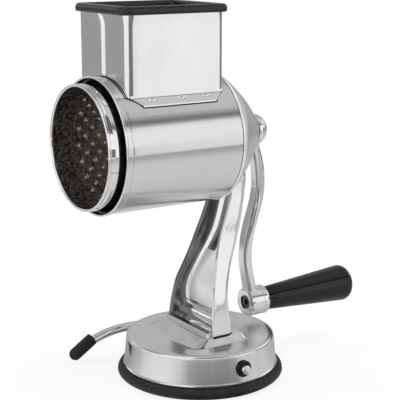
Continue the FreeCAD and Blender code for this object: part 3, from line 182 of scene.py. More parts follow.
def lathe(bm, outline, centre, axis=Y, side=Z, steps=96, sweep=360.0, closed=True):
    """Turns an outline of (along, radius) pairs in millimetres about an axis."""
    verts = [bm.verts.new(centre + (axis * a + side * r) * MM) for a, r in outline]
    edges = [bm.edges.new(pair) for pair in zip(verts, verts[1:])]
    if closed:
        edges.append(bm.edges.new((verts[-1], verts[0])))
    full = sweep == 360.0
    bmesh.ops.spin(bm, geom=verts + edges, cent=centre, axis=axis, dvec=(0, 0, 0),
                   angle=math.radians(sweep), steps=steps, use_merge=full, use_duplicate=False)
    if full:
        tidy(bm)


def turned(outline, centre, **options):
    """New mesh of an outline turned about an axis."""
    bm = bmesh.new()
    lathe(bm, outline, centre, **options)
    return bm


def shifted(outline, first, second=0.0):
    return [(a + first, b + second) for a, b in outline]


def loft(bm, loops, cap_start=False, cap_end=False):
    """Skins a row of loops with the same number of points each."""
    ring = bmesh.ops.create_circle(bm, segments=len(loops[0]), radius=1.0)["verts"]
    for vert, place in zip(ring, loops[0]):
        vert.co = place
    edges = [edge for edge in bm.edges if edge.verts[0] in ring and edge.verts[1] in ring]
    if cap_start:
        bmesh.ops.edgeloop_fill(bm, edges=edges)
    for loop in loops[1:]:
        index = {vert: i for i, vert in enumerate(ring)}
        made = bmesh.ops.extrude_edge_only(bm, edges=edges)["geom"]
        ring = [None] * len(loop)
        for vert in moved_verts(made):
            old = next(e.other_vert(vert) for e in vert.link_edges if e.other_vert(vert) in index)
            ring[index[old]] = vert
        fresh = set(ring)
        edges = [e for e in made if isinstance(e, bmesh.types.BMEdge) and fresh.issuperset(e.verts)]
        for vert, place in zip(ring, loop):
            vert.co = place
    if cap_end:
        bmesh.ops.edgeloop_fill(bm, edges=edges)


def at_height(points, z):
    """Pairs of millimetres as points in the plane at height z."""
    return [Vector((px, py, z)) * MM for px, py in points]


def rounded_loop(x, y, radius, straight=12, bends=8):
    """Rectangle with rounded corners, as pairs of millimetres."""
    (x0, x1), (y0, y1), r = x, y, radius
    middles = ((x1, (y0 + y1) / 2), ((x0 + x1) / 2, y1), (x0, (y0 + y1) / 2), ((x0 + x1) / 2, y0))
    centres = ((x1 - r, y1 - r), (x0 + r, y1 - r), (x0 + r, y0 + r), (x1 - r, y0 + r))
    points = []
    for i, centre in enumerate(centres):
        points += line(middles[i], on_circle(centre, r, 90 * i), straight)
        points += bend(centre, r, 90 * i, 90, bends)
        points += line(on_circle(centre, r, 90 * i + 90), middles[(i + 1) % 4], straight)
    return points


def sweep_round(bm, path, radius, sides):
    """Round bar along a row of points."""
    loops, normal, last = [], None, None
    for i, point in enumerate(path):
        before, after = path[max(i - 1, 0)], path[min(i + 1, len(path) - 1)]
        way = (after - before).normalized()
        if normal is None:
            normal = Z if abs(way.z) < 0.9 else X
        else:
            normal = last.rotation_difference(way) @ normal
        normal = (normal - way * normal.dot(way)).normalized()
        across = way.cross(normal)
        loops.append([point + normal * u + across * v for u, v in bend((0, 0), radius, 0, 360, sides)])
        last = way
    loft(bm, loops, True, True)


def join(bm, other):
    """Adds the other mesh to bm and frees it."""
    mesh = bpy.data.meshes.new("part")
    other.to_mesh(mesh)
    other.free()
    bm.from_mesh(mesh)
    bpy.data.meshes.remove(mesh)


def paint(bm, finishes, choose):
    """Gives each face the finish that choose names for its normal and its middle in millimetres."""
    for face in bm.faces:
        face.material_index = finishes.index(choose(face.normal, face.calc_center_median() / MM))


def axis_point():
    """Middle of the drum's axis."""
    return Vector((0, 0, bpy.context.scene.shredder_sizes.axis_height))


def from_axis(normal, middle):
    """How squarely a face looks away from the drum's axis, and its distance from it in millimetres."""
    way = middle - axis_point() / MM
    way.y = 0.0
    return normal.dot(way.normalized()), way.length


def new_object(name, bm, materials):
    mesh = bpy.data.meshes.new(name)
    bm.to_mesh(mesh)
    bm.free()
    for material in materials:
        mesh.materials.append(material)
    made = bpy.data.objects.new(name, mesh)
    bpy.context.scene.collection.objects.link(made)
    return made


def add_piece(name, bm, finishes, body, replaces, sharp=32.0):
    """Makes the object, shades it smooth but for its sharp edges, and fixes it to its body."""
    for face in bm.faces:
        face.smooth = True
    for edge in bm.edges:
        if len(edge.link_faces) == 2 and edge.calc_face_angle() > math.radians(sharp):
            edge.smooth = False
    piece = new_object(name, bm, [finish(key) for key in finishes])
    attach(piece, body)
    if replaces:
        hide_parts(*replaces)


# -------------------------------------------------------------------- finishes
class Nodes:
    """Adds nodes to a shader tree."""

    def __init__(self, tree):
        self.tree = tree

    def feed(self, socket, value):
        """Sets a socket to a plain value, or links another node's output to it."""
        if isinstance(value, bpy.types.NodeSocket):
            self.tree.links.new(value, socket)
        else:
            socket.default_value = value

    def node(self, kind, inputs=None, **settings):
        made = self.tree.nodes.new("ShaderNode" + kind)
        for name, value in settings.items():
            setattr(made, name, value)
        for name, value in (inputs or {}).items():
            self.feed(made.inputs[name], value)
        return made

    def math(self, operation, *values):
        return self.node("Math", dict(enumerate(values)), operation=operation).outputs[0]

    def any_of(self, first, *others):
        """The largest of the values."""
        for value in others:
            first = self.math("MAXIMUM", first, value)
        return first

    def mix(self, factor, a, b):
        return self.node("Mix", {"Factor": factor, "A": a, "B": b}).outputs["Result"]

    def spread(self, source, low, high, start=0.3, end=0.7):
        """Maps a value between start and end to low and high."""
        return self.node("MapRange", {"Value": source, "From Min": start, "From Max": end, "To Min": low,
                                      "To Max": high}).outputs["Result"]

    def ramp(self, source, stops):
        """Colours by position between 0 and 1."""
        made = self.node("ValToRGB", {"Fac": source})
        elements = made.color_ramp.elements
        while len(elements) < len(stops):
            elements.new(0.5)
        for element, (place, shade) in zip(elements, stops):
            element.position, element.color = place, (*shade, 1.0)
        return made.outputs["Color"]


def new_material(name):
    made = bpy.data.materials.new(name)
    made.use_nodes = True
    return made


# A pattern is noise: its scale along x, y and z per metre, its detail and its roughness.
# tint and rough are the spans of the colour's brightness and of the roughness. The roughness takes the
# fine pattern if there is one. relief is a depth in metres and a pattern. along and across draw
# reflections out: an amount, and a direction or what the direction is square to.
Look = namedtuple("Look", "colour share metallic tint rough pattern fine relief specular along across worn",
                  defaults=(None, None, 0.5, None, None, False))


def even(scale, detail=3, rough=0.55):
    """Pattern with one scale in all directions."""
    return scale, scale, scale, detail, rough


WAVES = (60, 60, 35, 2)
WEB_WAVES = (30, 30, 14, 2)
GRAIN = (1300, 1300, 10, 3)
BRUSHING = (12, 3200, 12, 2)
STAIN = even(400, 5, 0.75)
LOOKS = {
    # Barrel, brushed round its axis; its rear rim, buffed and made lighter as a painted highlight; painted
    # shade on its inside; painted shade where parts meet.
    "brushed_barrel": Look("steel", 1, 1, (0.99, 1.01), (0.18, 0.23), (5, 300, 5, 3), BRUSHING,
                           (0.000001, BRUSHING), along=(0.95, Y)),
    "bright_rim": Look("cast", 1.12, 0.35, (0.92, 1.05), (0.15, 0.26), (60, 900, 60, 3)),
    "shaded_steel": Look("steel", 0.15, 1, (0.7, 1.3), (0.34, 0.48), even(300)),
    "dark_gap": Look("steel", 0.04, 0, (0.6, 1.5), (0.5, 0.7), even(500), specular=0.2),
    # Hopper sheet with upright grain and a few stains.
    "brushed_hopper": Look("sheet", 1, 1, (0.97, 1.03), (0.1, 0.18), (40, 40, 30, 4, 0.6), GRAIN,
                           (0.000001, GRAIN), across=(0.6, Z)),
    # Pan: satin, cloudy top, brighter sides of the plateau, and a wall polished round.
    "satin_pan_top": Look("pan", 1, 1, (1.0, 1.1), (0.2, 0.27), even(45), even(900, 2),
                          (0.000004, even(900, 2))),
    "polished_slope": Look("pan", 1, 1, (0.9, 1.05), (0.08, 0.16), even(60)),
    "polished_pan_wall": Look("pan", 1, 1, (0.93, 1.02), (0.12, 0.19), (160, 160, 8, 3)),
    # Castings, polished by hand; painted shade on the channel's inner sides and the arm's edge; the satin web,
    # made lighter as a painted highlight; the satin head.
    "polished_cast": Look("cast", 1, 1, (0.95, 1.0), (0.06, 0.13), WAVES, (2200, 2200, 260, 2),
                          (0.00035, WAVES)),
    "channel_side": Look("cast", 0.24, 1, (0.7, 1.3), (0.14, 0.28), WAVES, relief=(0.0004, WAVES)),
    "arm_edge": Look("cast", 0.55, 1, (0.7, 1.2), (0.14, 0.26), (60, 60, 25, 2)),
    "satin_web": Look("cast", 1.12, 0.25, (0.92, 1.04), (0.15, 0.26), WEB_WAVES, relief=(0.0006, WEB_WAVES)),
    "satin_head": Look("cast", 0.74, 0.7, (0.92, 1.0), (0.3, 0.38), even(50)),
    # Drawn bar and lip; chromed ring.
    "polished_bar": Look("cast", 1, 1, (0.92, 1.0), (0.06, 0.11), even(350)),
    "mirror_ring": Look("cast", 1, 1, (0.94, 1.0), (0.03, 0.07), even(120), relief=(0.0003, even(40, 1))),
    # Drum: stained inside; a painted highlight round each tooth and on its tips outside; painted shade in the
    # hollows and all over the outside.
    "drum_steel": Look("drum", 1, 1, (0.18, 2.0), (0.36, 0.55), STAIN, relief=(0.00008, STAIN), worn=True),
    "drum_burr": Look("drum", 2.2, 1, (0.18, 2.0), (0.36, 0.55), STAIN, relief=(0.00008, STAIN), worn=True),
    "drum_pits": Look("drum", 0.14, 1, (0.6, 1.5), (0.34, 0.5), even(300)),
    "drum_outside": Look("steel", 0.08, 1, (0.6, 1.6), (0.28, 0.45), even(200)),
    # Zinc-plated small parts and the oiled screw.
    "zinc_steel": Look("steel", 1, 1, (0.7, 0.85), (0.3, 0.45), even(500)),
    "dark_screw": Look("screw", 1, 1, (0.6, 1.3), (0.22, 0.45), even(900)),
    # Black plastics and rubber.
    "trim_plastic": Look("black", 1.3, 0, (0.75, 1.35), (0.2, 0.3), even(900), relief=(0.000012, even(900))),
    "black_plastic": Look("black", 1, 0, (0.8, 1.3), (0.26, 0.36), even(1800, 2),
                          relief=(0.000008, even(1800, 2)), specular=0.25),
    "gloss_grip": Look("black", 1, 0, (0.6, 1.3), (0.08, 0.16), (90, 30, 90, 4), specular=0.4),
    "foot_rubber": Look("rubber", 1, 0, (0.85, 1.5), (0.38, 0.5), (60, 60, 200, 3), even(1200),
                        (0.00001, even(1200)), specular=0.2),
}
# Where the drum's steel goes from darker near its mouth to lighter further in, as painted shade: y in metres,
# and the shift of the stain's noise. Then the span of that noise over which the tint changes.
AXIS_SHADE_SHIFT = {"start": -0.1, "end": -0.045, "low": -0.1, "high": 0.12}
STAIN_AND_SHADE_SPAN = (0.36, 0.66)
FINISHES = {}


class Finish(Nodes):
    """A material built from nodes on object coordinates."""

    def __init__(self, name, look, colour):
        self.material = new_material(name)
        super().__init__(self.material.node_tree)
        self.coords = self.node("TexCoord").outputs["Object"]
        self.patterns = {}
        base = [look.share * c for c in colour]
        pattern = self.noise(*look.pattern)
        start, end = 0.3, 0.7
        tinted = pattern
        if look.worn:
            # Painted shade along the drum's axis: darker near its mouth, lighter further in.
            along_axis = self.node("SeparateXYZ", {0: self.coords}).outputs["Y"]
            tinted = self.math("ADD", pattern, self.spread(along_axis, **AXIS_SHADE_SHIFT))
            start, end = STAIN_AND_SHADE_SPAN
        stops = [(stop, [min(c * bright, 1.0) for c in base]) for stop, bright in zip((start, end), look.tint)]
        values = {
            "Base Color": self.ramp(tinted, stops),
            "Metallic": look.metallic,
            "Roughness": self.spread(self.noise(*look.fine) if look.fine else pattern, *look.rough),
            "Specular IOR Level": look.specular,
        }
        if look.relief:
            depth, relief = look.relief
            bump = self.node("Bump", {"Distance": depth, "Height": self.noise(*relief), "Strength": 1.0})
            values["Normal"] = bump.outputs["Normal"]
        if look.along or look.across:
            values["Anisotropic"], way = look.along or look.across
            inputs, operation = {0: way}, "NORMALIZE"
            if look.across:
                inputs[1] = self.node("NewGeometry").outputs["True Normal"]
                operation = "CROSS_PRODUCT"
            values["Tangent"] = self.node("VectorMath", inputs, operation=operation).outputs["Vector"]
        shader = self.tree.nodes["Principled BSDF"]
        for socket, value in values.items():
            self.feed(shader.inputs[socket], value)

    def noise(self, x, y, z, detail, rough=0.55):
        """The pattern with those numbers, made once."""
        key = (x, y, z, detail, rough)
        if key not in self.patterns:
            mapping = self.node("Mapping", {"Vector": self.coords, "Scale": (x, y, z)})
            self.patterns[key] = self.node("TexNoise", {"Vector": mapping.outputs["Vector"], "Scale": 1.0,
                                                        "Detail": detail, "Roughness": rough}).outputs["Fac"]
        return self.patterns[key]


def finish(name):
    """The material of that name, made when it is first wanted."""
    if name not in FINISHES:
        colour_now = getattr(bpy.context.scene.shredder_colours, LOOKS[name].colour)
        FINISHES[name] = Finish(name, LOOKS[name], colour_now).material
    return FINISHES[name]


# ------------------------------------------------------------------------ base
RIM_INSIDE = 50.0           # radius at which the rubber's raised rim ends
MEMBRANE = 4.0              # height of the rubber's flat middle


class SHREDDER_OT_foot(bpy.types.Operator):
    """Rubber suction foot: a membrane with a raised rim and a rounded outer edge"""

    bl_idname = "shredder.foot"
    bl_label = "Suction foot"

    def execute(self, context):
        sizes = context.scene.shredder_sizes
        r, h = sizes.foot_radius / MM, sizes.foot_height / MM
        outline = [(0, 0), (0, r - 8.5), (0.3, r - 5.6), (1.1, r - 3.0), (2.1, r - 1.4), (3.2, r - 0.45),
                   (4.4, r), (h - 2.9, r - 0.15), (h - 1.7, r - 0.5), (h - 0.8, r - 1.0), (h - 0.3, r - 1.6),
                   (h, r - 2.6), (h - 0.15, r - 3.7), (h - 0.6, r - 4.4), (h - 0.6, RIM_INSIDE),
                   (MEMBRANE, RIM_INSIDE), (MEMBRANE, 0)]
        bm = turned(outline, Vector(), axis=Z, side=X, steps=128, closed=False)
        add_piece("suction_foot", bm, ["foot_rubber"], "frame", ["suction_pad"], 50)
        return {"FINISHED"}


PLATEAU_TOP = ((-31.0, 31.0), (-14.6, 19.5), 4.0)   # x, y and corner radius
PLATEAU_FOOT = ((-37.6, 37.6), (-29.6, 23.9), 10.0)
PAN_SHEET = 1.2


class SHREDDER_OT_pan(bpy.types.Operator):
    """Pressed pan: plateau, satin top, shoulder, wall and a small curl above the rubber"""

    bl_idname = "shredder.pan"
    bl_label = "Base pan"

    def execute(self, context):
        sizes = context.scene.shredder_sizes
        top = sizes.pan_height / MM
        high = sizes.plateau / MM
        # Share of the way down the plateau's side, and height above the pan's top.
        slope = ((-0.25, high), (-0.06, high), (0.0, high - 0.12), (0.05, high - 0.42), (0.12, high - 0.85),
                 (0.3, high * 0.66), (0.5, high * 0.45), (0.72, high * 0.22), (0.88, high * 0.08),
                 (1.0, high * 0.02), (1.12, 0.0))
        loops = []
        for share, rise in slope:
            x, y = [[a + (b - a) * share for a, b in zip(PLATEAU_TOP[k], PLATEAU_FOOT[k])] for k in (0, 1)]
            corner = max(PLATEAU_TOP[2] + (PLATEAU_FOOT[2] - PLATEAU_TOP[2]) * share, 1.5)
            loops.append(at_height(rounded_loop(x, y, corner), top + rise))
        shoulder, foot = sizes.pan_shoulder / MM, sizes.pan_radius / MM
        edge = arc_points((-3.0, -0.05), (-0.88, -0.9), (0, -3.0), 7)
        curl = [(-0.45, 12.4), (-0.35, 11.6), (0.15, 11.2), (0.55, 10.6), (0.45, 9.9), (-0.1, 9.4), (-0.2, 8.6),
                (0, 4.1)]
        profile = [(46.0, top), (51.5, top)] + shifted(curl, foot)
        profile[2:2] = shifted([(-3.6, 0), *edge, (0.03, -4.0), (0.95, -14.0)], shoulder, top)
        loops += [at_height(bend((0, 0), r, 0, 360, len(loops[0])), z) for r, z in profile]
        bm = bmesh.new()
        loft(bm, loops, cap_start=True)
        outwards(bm)
        if bm.faces[0].normal.z < 0:
            bmesh.ops.reverse_faces(bm, faces=bm.faces)
        thicken(bm, PAN_SHEET)

        def choose(normal, middle):
            if middle.z > top + 0.3 and normal.z < 0.97:
                return "polished_slope"
            return "satin_pan_top" if middle.z > top - PAN_SHEET else "polished_pan_wall"

        finishes = ["satin_pan_top", "polished_pan_wall", "polished_slope"]
        paint(bm, finishes, choose)
        add_piece("pan", bm, finishes, "frame", ["base_pan"])
        return {"FINISHED"}


class SHREDDER_OT_bushes(bpy.types.Operator):
    """Black bushes round the lever's axle, one in each side of the pan"""

    bl_idname = "shredder.bushes"
    bl_label = "Axle bushes"

    def execute(self, context):
        sizes = context.scene.shredder_sizes
        wall = sizes.pan_radius / MM - 1.3
        outline = [(-7.5, 3.66), (-7.5, 5.4), (0.2, 5.4), (0.2, 6.3), (1.1, 6.4), (1.6, 6.15), (1.75, 5.7),
                   (1.75, 3.9), (1.6, 3.66)]
        bm = bmesh.new()
        for side in (X, -X):
            lathe(bm, shifted(outline, wall), Vector((0, 0, sizes.axle_height)), side, Z, 48)
        add_piece("bushes", bm, ["black_plastic"], "frame", ["axle_bushes"])
        return {"FINISHED"}


# ----------------------------------------------------------------------- lever
# Middle line of the lever's arm behind its bend: y and z.
LEVER_ARM = ((-8.0, 21.0), (-14.0, 21.1), (-23.0, 21.5), (-33.0, 21.4), (-43.0, 20.3), (-50.0, 18.7),
             (-57.5, 16.4), (-63.0, 14.0), (-68.0, 11.4), (-72.4, 8.6))
LEVER_END = 63.8            # where the axle ends, beyond the bush on the other side
BAR_RADIUS = 3.6
CAP_RADIUS = 5.1


class SHREDDER_OT_lever(bpy.types.Operator):
    """Bent polished bar of the suction lever and the rubber cap on its end"""

    bl_idname = "shredder.lever"
    bl_label = "Suction lever"

    def execute(self, context):
        sizes = context.scene.shredder_sizes
        plane, height, turn = sizes.lever_plane, sizes.axle_height, 8.0 * MM
        path = [Vector((x * MM, 0, height)) for x in (LEVER_END, 40.0, 0.0, -40.0, -58.0)]
        path += [Vector((*place, height)) for place in bend((plane + turn, -turn), turn, 90, 90, 10, True)[1:]]
        arm = smooth_table([(-y, z) for y, z in LEVER_ARM], 1.6)
        path += [Vector((plane, -y * MM, z * MM)) for y, z in arm[1:]]
        bm = bmesh.new()
        sweep_round(bm, path, BAR_RADIUS * MM, 28)
        ends = [e for e in bm.edges if all(v.co.x > (LEVER_END - 0.1) * MM for v in e.verts)]
        bmesh.ops.bevel(bm, geom=ends, offset=0.7 * MM, affect="EDGES", segments=3, profile=0.5, material=-1)
        lathe(bm, [(0, 0), (0, 0.85), (0.22, 0.75), (0.22, 0)], Vector(((LEVER_END - 0.05) * MM, 0, height)),
              X, Z, 20, closed=False)
        add_piece("lever_bar", bm, ["polished_bar"], "lever", ["lever_rod"])
        end, inner = path[-1], path[-4]
        way = (end - inner).normalized()
        cap = [(-17.0, 3.65), (-17.0, 4.5), (-16.6, 4.9), (-15.8, CAP_RADIUS), (1.6, CAP_RADIUS)]
        cap += bend((1.8, 0), CAP_RADIUS, 80, -70, 7, True)
        cap += [(1.8 + CAP_RADIUS, 0), (0.1, 0), (0.1, 3.65)]
        bm = turned(cap, end, axis=way, side=way.cross(X).normalized(), steps=40)
        add_piece("lever_cap", bm, ["foot_rubber"], "lever", ["lever_tip"], 40)
        return {"FINISHED"}


# ----------------------------------------------------------------------- stand
# Height above the plateau, half width, front face y and back face y.
STRUT = (
    (0.0, 32.2, -9.2, 11.4), (12.0, 31.1, -8.3, 9.8), (22.0, 30.0, -6.8, 8.7), (32.0, 28.3, -5.1, 9.4),
    (42.0, 25.4, -2.1, 12.4), (52.0, 22.3, 1.0, 16.5), (62.0, 19.7, 4.0, 21.2), (73.0, 17.9, 7.6, 26.0),
    (84.0, 17.0, 11.9, 29.2), (96.0, 16.1, 16.0, 31.8), (107.0, 15.4, 18.6, 33.8), (118.0, 15.0, 17.4, 35.2),
    (130.0, 14.8, 16.4, 32.6),
)
STRUT_WALL = 4.2
STRUT_WEB = 4.4
EDGE_REACH = 1.1            # how far back the rounded front edge of a wall reaches
WEB_SATIN_AND_HIGHLIGHT = (14.0, 57.0)    # heights above the plateau between which the web is satin and made lighter as a painted highlight
FLOOR_FRONT = -12.5
FLOOR_HALF = 28.9


def channel_loop(half, front, back, z):
    """Section of the strut: a channel that is open to the front."""
    outer, edge, rim = 6.0, 1.2, 0.6
    x_in, web = half - STRUT_WALL, back - STRUT_WEB
    inner = min(7.0, x_in - 1.0, web - front - 2.0)
    return at_height(
        line((half, front + rim), (half, back - outer), 6)
        + bend((half - outer, back - outer), outer, 0, 90, 8)
        + line((half - outer, back), (-half + outer, back), 8)
        + bend((-half + outer, back - outer), outer, 90, 90, 8)
        + line((-half, back - outer), (-half, front + rim), 6)
        + bend((-half + rim, front + rim), rim, 180, 90, 4)
        + bend((-x_in - edge, front + edge), edge, 270, 90, 4)
        + line((-x_in, front + edge), (-x_in, web - inner), 5)
        + bend((-x_in + inner, web - inner), inner, 180, -90, 10)
        + line((-x_in + inner, web), (x_in - inner, web), 8)
        + bend((x_in - inner, web - inner), inner, 90, -90, 10)
        + line((x_in, web - inner), (x_in, front + edge), 5)
        + bend((x_in + edge, front + edge), edge, 180, 90, 4)
        + bend((half - rim, front + rim), rim, 270, 90, 4), z)


def foot_loop(inset, z):
    """Section of the strut's foot, drawn in all round."""
    half, front, back = STRUT[0][1:]
    return channel_loop(half - inset, front + inset, back - inset, z)


class SHREDDER_OT_stand(bpy.types.Operator):
    """Cast stand: channel strut, foot floor, cone-shaped head and bearing boss"""

    bl_idname = "shredder.stand"
    bl_label = "Stand"

    def execute(self, context):
        sizes = context.scene.shredder_sizes
        seat = (sizes.pan_height + sizes.plateau) / MM + 0.05
        loops = [foot_loop(1.1, seat), foot_loop(0.0, seat + 1.3)]
        loops += [channel_loop(half, front, back, seat + dz)
                  for dz, half, front, back in smooth_table(STRUT, 2.5)[1:]]
        strut = bmesh.new()
        loft(strut, loops, True, True)
        self.floor(strut, seat)
        outwards(strut)

        def choose(normal, middle):
            height = middle.z - seat
            lip = middle.y < FLOOR_FRONT + 0.3 and abs(middle.x) < 1.0
            if lip or abs(normal.x) > 0.999 and abs(abs(middle.x) - FLOOR_HALF) < 0.001:
                return "satin_head"         # the floor's lip in front, and its ends
            # Painted shade on the channel's inner sides and on the front edge of the wall at -X.
            if abs(normal.x) > 0.74 and middle.x * normal.x < 0:
                return "channel_side"
            if middle.x < 0 and middle.y < self.front_at(height):
                return "channel_side"
            # The satin web between the two heights is made lighter as a painted highlight.
            facing = abs(normal.x) <= 0.5 and normal.y < -0.3 and abs(middle.x) < 25
            return "satin_web" if facing and WEB_SATIN_AND_HIGHLIGHT[0] < height < WEB_SATIN_AND_HIGHLIGHT[1] else "polished_cast"

        finishes = ["polished_cast", "satin_head", "channel_side", "satin_web"]
        paint(strut, finishes, choose)
        # Painted shade: a dark bar round the strut's foot, where it stands on the plateau.
        foot = bmesh.new()
        sweep_round(foot, foot_loop(0.6, seat + 0.5)[:40], 0.6 * MM, 8)
        add_piece("stand_joint", foot, ["dark_gap"], "frame", (), 60)
        head = self.head()
        paint(head, finishes, lambda normal, middle: "satin_head")
        join(strut, head)
        tidy(strut)
        add_piece("stand_casting", strut, finishes, "frame", ["stand", "stand_head"], 40)
        return {"FINISHED"}

    def front_at(self, height):
        """How far back the rounded front edge of a wall reaches at that height above the plateau."""
        low = max(row for row in STRUT[:-1] if row[0] <= max(height, 0.0))
        high = min(row for row in STRUT if row[0] > low[0])
        return low[2] + (high[2] - low[2]) * (height - low[0]) / (high[0] - low[0]) + EDGE_REACH

    def floor(self, bm, seat):
        """Floor between the walls: a lip in front, a cove up to the web and a rib above it."""
        profile = [(FLOOR_FRONT, 0.0), (FLOOR_FRONT, 2.6), (-12.1, 3.2), (-11.4, 3.5), (-8.0, 3.75),
                   (-5.0, 4.35), (-2.6, 5.3), (-0.6, 6.8), (0.9, 8.6), (1.5, 9.7), (2.1, 9.9), (3.0, 9.9),
                   (3.0, 10.6), (2.2, 10.6), (1.6, 11.0), (1.6, 12.0), (2.2, 12.6), (7.5, 13.4), (7.5, 0.0)]
        verts = [bm.verts.new(Vector((-FLOOR_HALF, y, seat + z)) * MM) for y, z in profile]
        made = bmesh.ops.extrude_face_region(bm, geom=[bm.faces.new(verts)])["geom"]
        moved = moved_verts(made)
        bmesh.ops.translate(bm, vec=X * (2 * FLOOR_HALF * MM), verts=moved)
        front = {v for v in verts + moved if abs(v.co.y - FLOOR_FRONT * MM) < 1e-6}
        corners = {e for v in front for e in v.link_edges
                   if front.issuperset(e.verts) and abs(e.verts[0].co.x - e.verts[1].co.x) < 1e-6}
        bmesh.ops.bevel(bm, geom=list(corners), offset=1.6 * MM, affect="EDGES", segments=4, profile=0.5,
                        material=-1)

    def head(self):
        """Cone, satin outside, with its wall and the boss that carries the shaft's bush."""
        outer = arc_points((11.5, 47.0), (30.0, 31.0), (45.2, 14.0), 26)
        inner = arc_points((45.0, 9.6), (28.0, 28.4), (11.5, 43.4), 16)
        flange = [(45.9, 13.1), (46.6, 12.2), (46.6, 8.25), (46.0, 8.25)]
        bm = turned([(9.25, 43.4), (9.25, 46.6), (9.6, 47.0)] + outer + flange + inner, axis_point(), steps=128)
        boss = [(12.0, 8.25), (12.0, 12.2), (12.4, 12.6), (40.0, 12.6), (44.0, 12.0), (44.0, 8.25)]
        lathe(bm, boss, axis_point(), steps=64)
        return bm


# ---------------------------------------------------------------------- barrel
BARREL_Y = (-91.8, 9.2)
BARREL_SHEET = 0.9
WINDOW_HALF = 29.9          # opening under the hopper: half width and y
WINDOW_Y = (-77.9, -6.0)
GROOVE_Y = (5.1, 5.75)      # turned groove in front of the rear rim


class SHREDDER_OT_barrel(bpy.types.Operator):
    """Barrel of thin brushed steel: rolled lip, hem, window under the hopper and rear rim"""

    bl_idname = "shredder.barrel"
    bl_label = "Barrel"

    def execute(self, context):
        r = context.scene.shredder_sizes.barrel_radius / MM
        centre = axis_point()
        front, back = BARREL_Y
        hem = [(0, 0.3), (4.6, 0.3), (4.9, -0.05), (5.1, -0.4), (5.35, -0.05), (5.6, 0)]
        rim = [(5.15, -0.3), (5.4, -0.55), (5.65, -0.2), (5.9, 0.15), (6.3, 0.42), (6.8, 0.5), (7.4, 0.3),
               (7.9, -0.2), (8.35, -1.0), (8.75, -1.9), (back, -2.8)]
        skin = shifted(hem, front, r)
        skin += [(y, r) for y in (-84.0, WINDOW_Y[0], -60.0, -40.0, -20.0, WINDOW_Y[1], 2.0, 4.9)]
        skin += shifted(rim, 0, r) + [(back, 33.0)]
        bm = turned(skin, centre, steps=144, closed=False)
        for x in (-WINDOW_HALF, WINDOW_HALF):
            bmesh.ops.bisect_plane(bm, geom=bm.verts[:] + bm.edges[:] + bm.faces[:], dist=1e-6,
                                   plane_co=(x * MM, 0, 0), plane_no=X)
        window = []
        for face in bm.faces:
            x, y, z = face.calc_center_median() / MM
            if abs(x) < WINDOW_HALF and WINDOW_Y[0] < y < WINDOW_Y[1] and z > centre.z / MM:
                window.append(face)
        bmesh.ops.delete(bm, geom=window, context="FACES")
        tidy(bm)
        thicken(bm, BARREL_SHEET)

        def choose(normal, middle):
            facing, _ = from_axis(normal, middle)
            # Painted shade in the groove in front of the rear rim.
            if facing > 0.2 and GROOVE_Y[0] < middle.y < GROOVE_Y[1]:
                return "dark_gap"
            # The rear rim and the end behind it are made lighter as a painted highlight.
            if middle.y > GROOVE_Y[0] + 0.05:
                return "bright_rim"
            # Painted shade on the barrel's inner faces.
            return "shaded_steel" if facing < -0.1 else "brushed_barrel"

        finishes = ["brushed_barrel", "bright_rim", "shaded_steel", "dark_gap"]
        paint(bm, finishes, choose)
        ring = turned(bend((front + 0.3, r - 0.05), 0.9, 0, 360, 14), centre, steps=144)
        add_piece("barrel_lip", ring, ["polished_bar"], "frame", ())
        add_piece("barrel_tube", bm, finishes, "frame", ["barrel"])
        return {"FINISHED"}


# ---------------------------------------------------------------------- hopper
HOPPER_Y = (-82.2, -1.7)
HOPPER_SHEET = 1.0
LAP = 0.9                   # how far the outer sheet of the front's lapped seam stands out
SEAT_GAP = 0.08             # between hopper and barrel
MOUTH = 13.0                # height over which the hopper widens towards its mouth
# Height below which the hopper's inner faces get painted shade.
SHADED_BELOW = 242.0
STRIP = 0.9                 # thickness of the strips on the barrel
CLIP_RISE = 38.2            # height above the barrel's axis below which the strips' corners are clipped
CLIP_SPAN = 6.0
CLIP = 8.6
DIMPLE = (2.2, 3.4, 2.6)
DIMPLES_Y = (-63.0, -38.8, -18.4)


def rise_at(x, radius):
    """Height above the barrel's axis of a circle round it."""
    return math.sqrt(radius**2 - x * x)


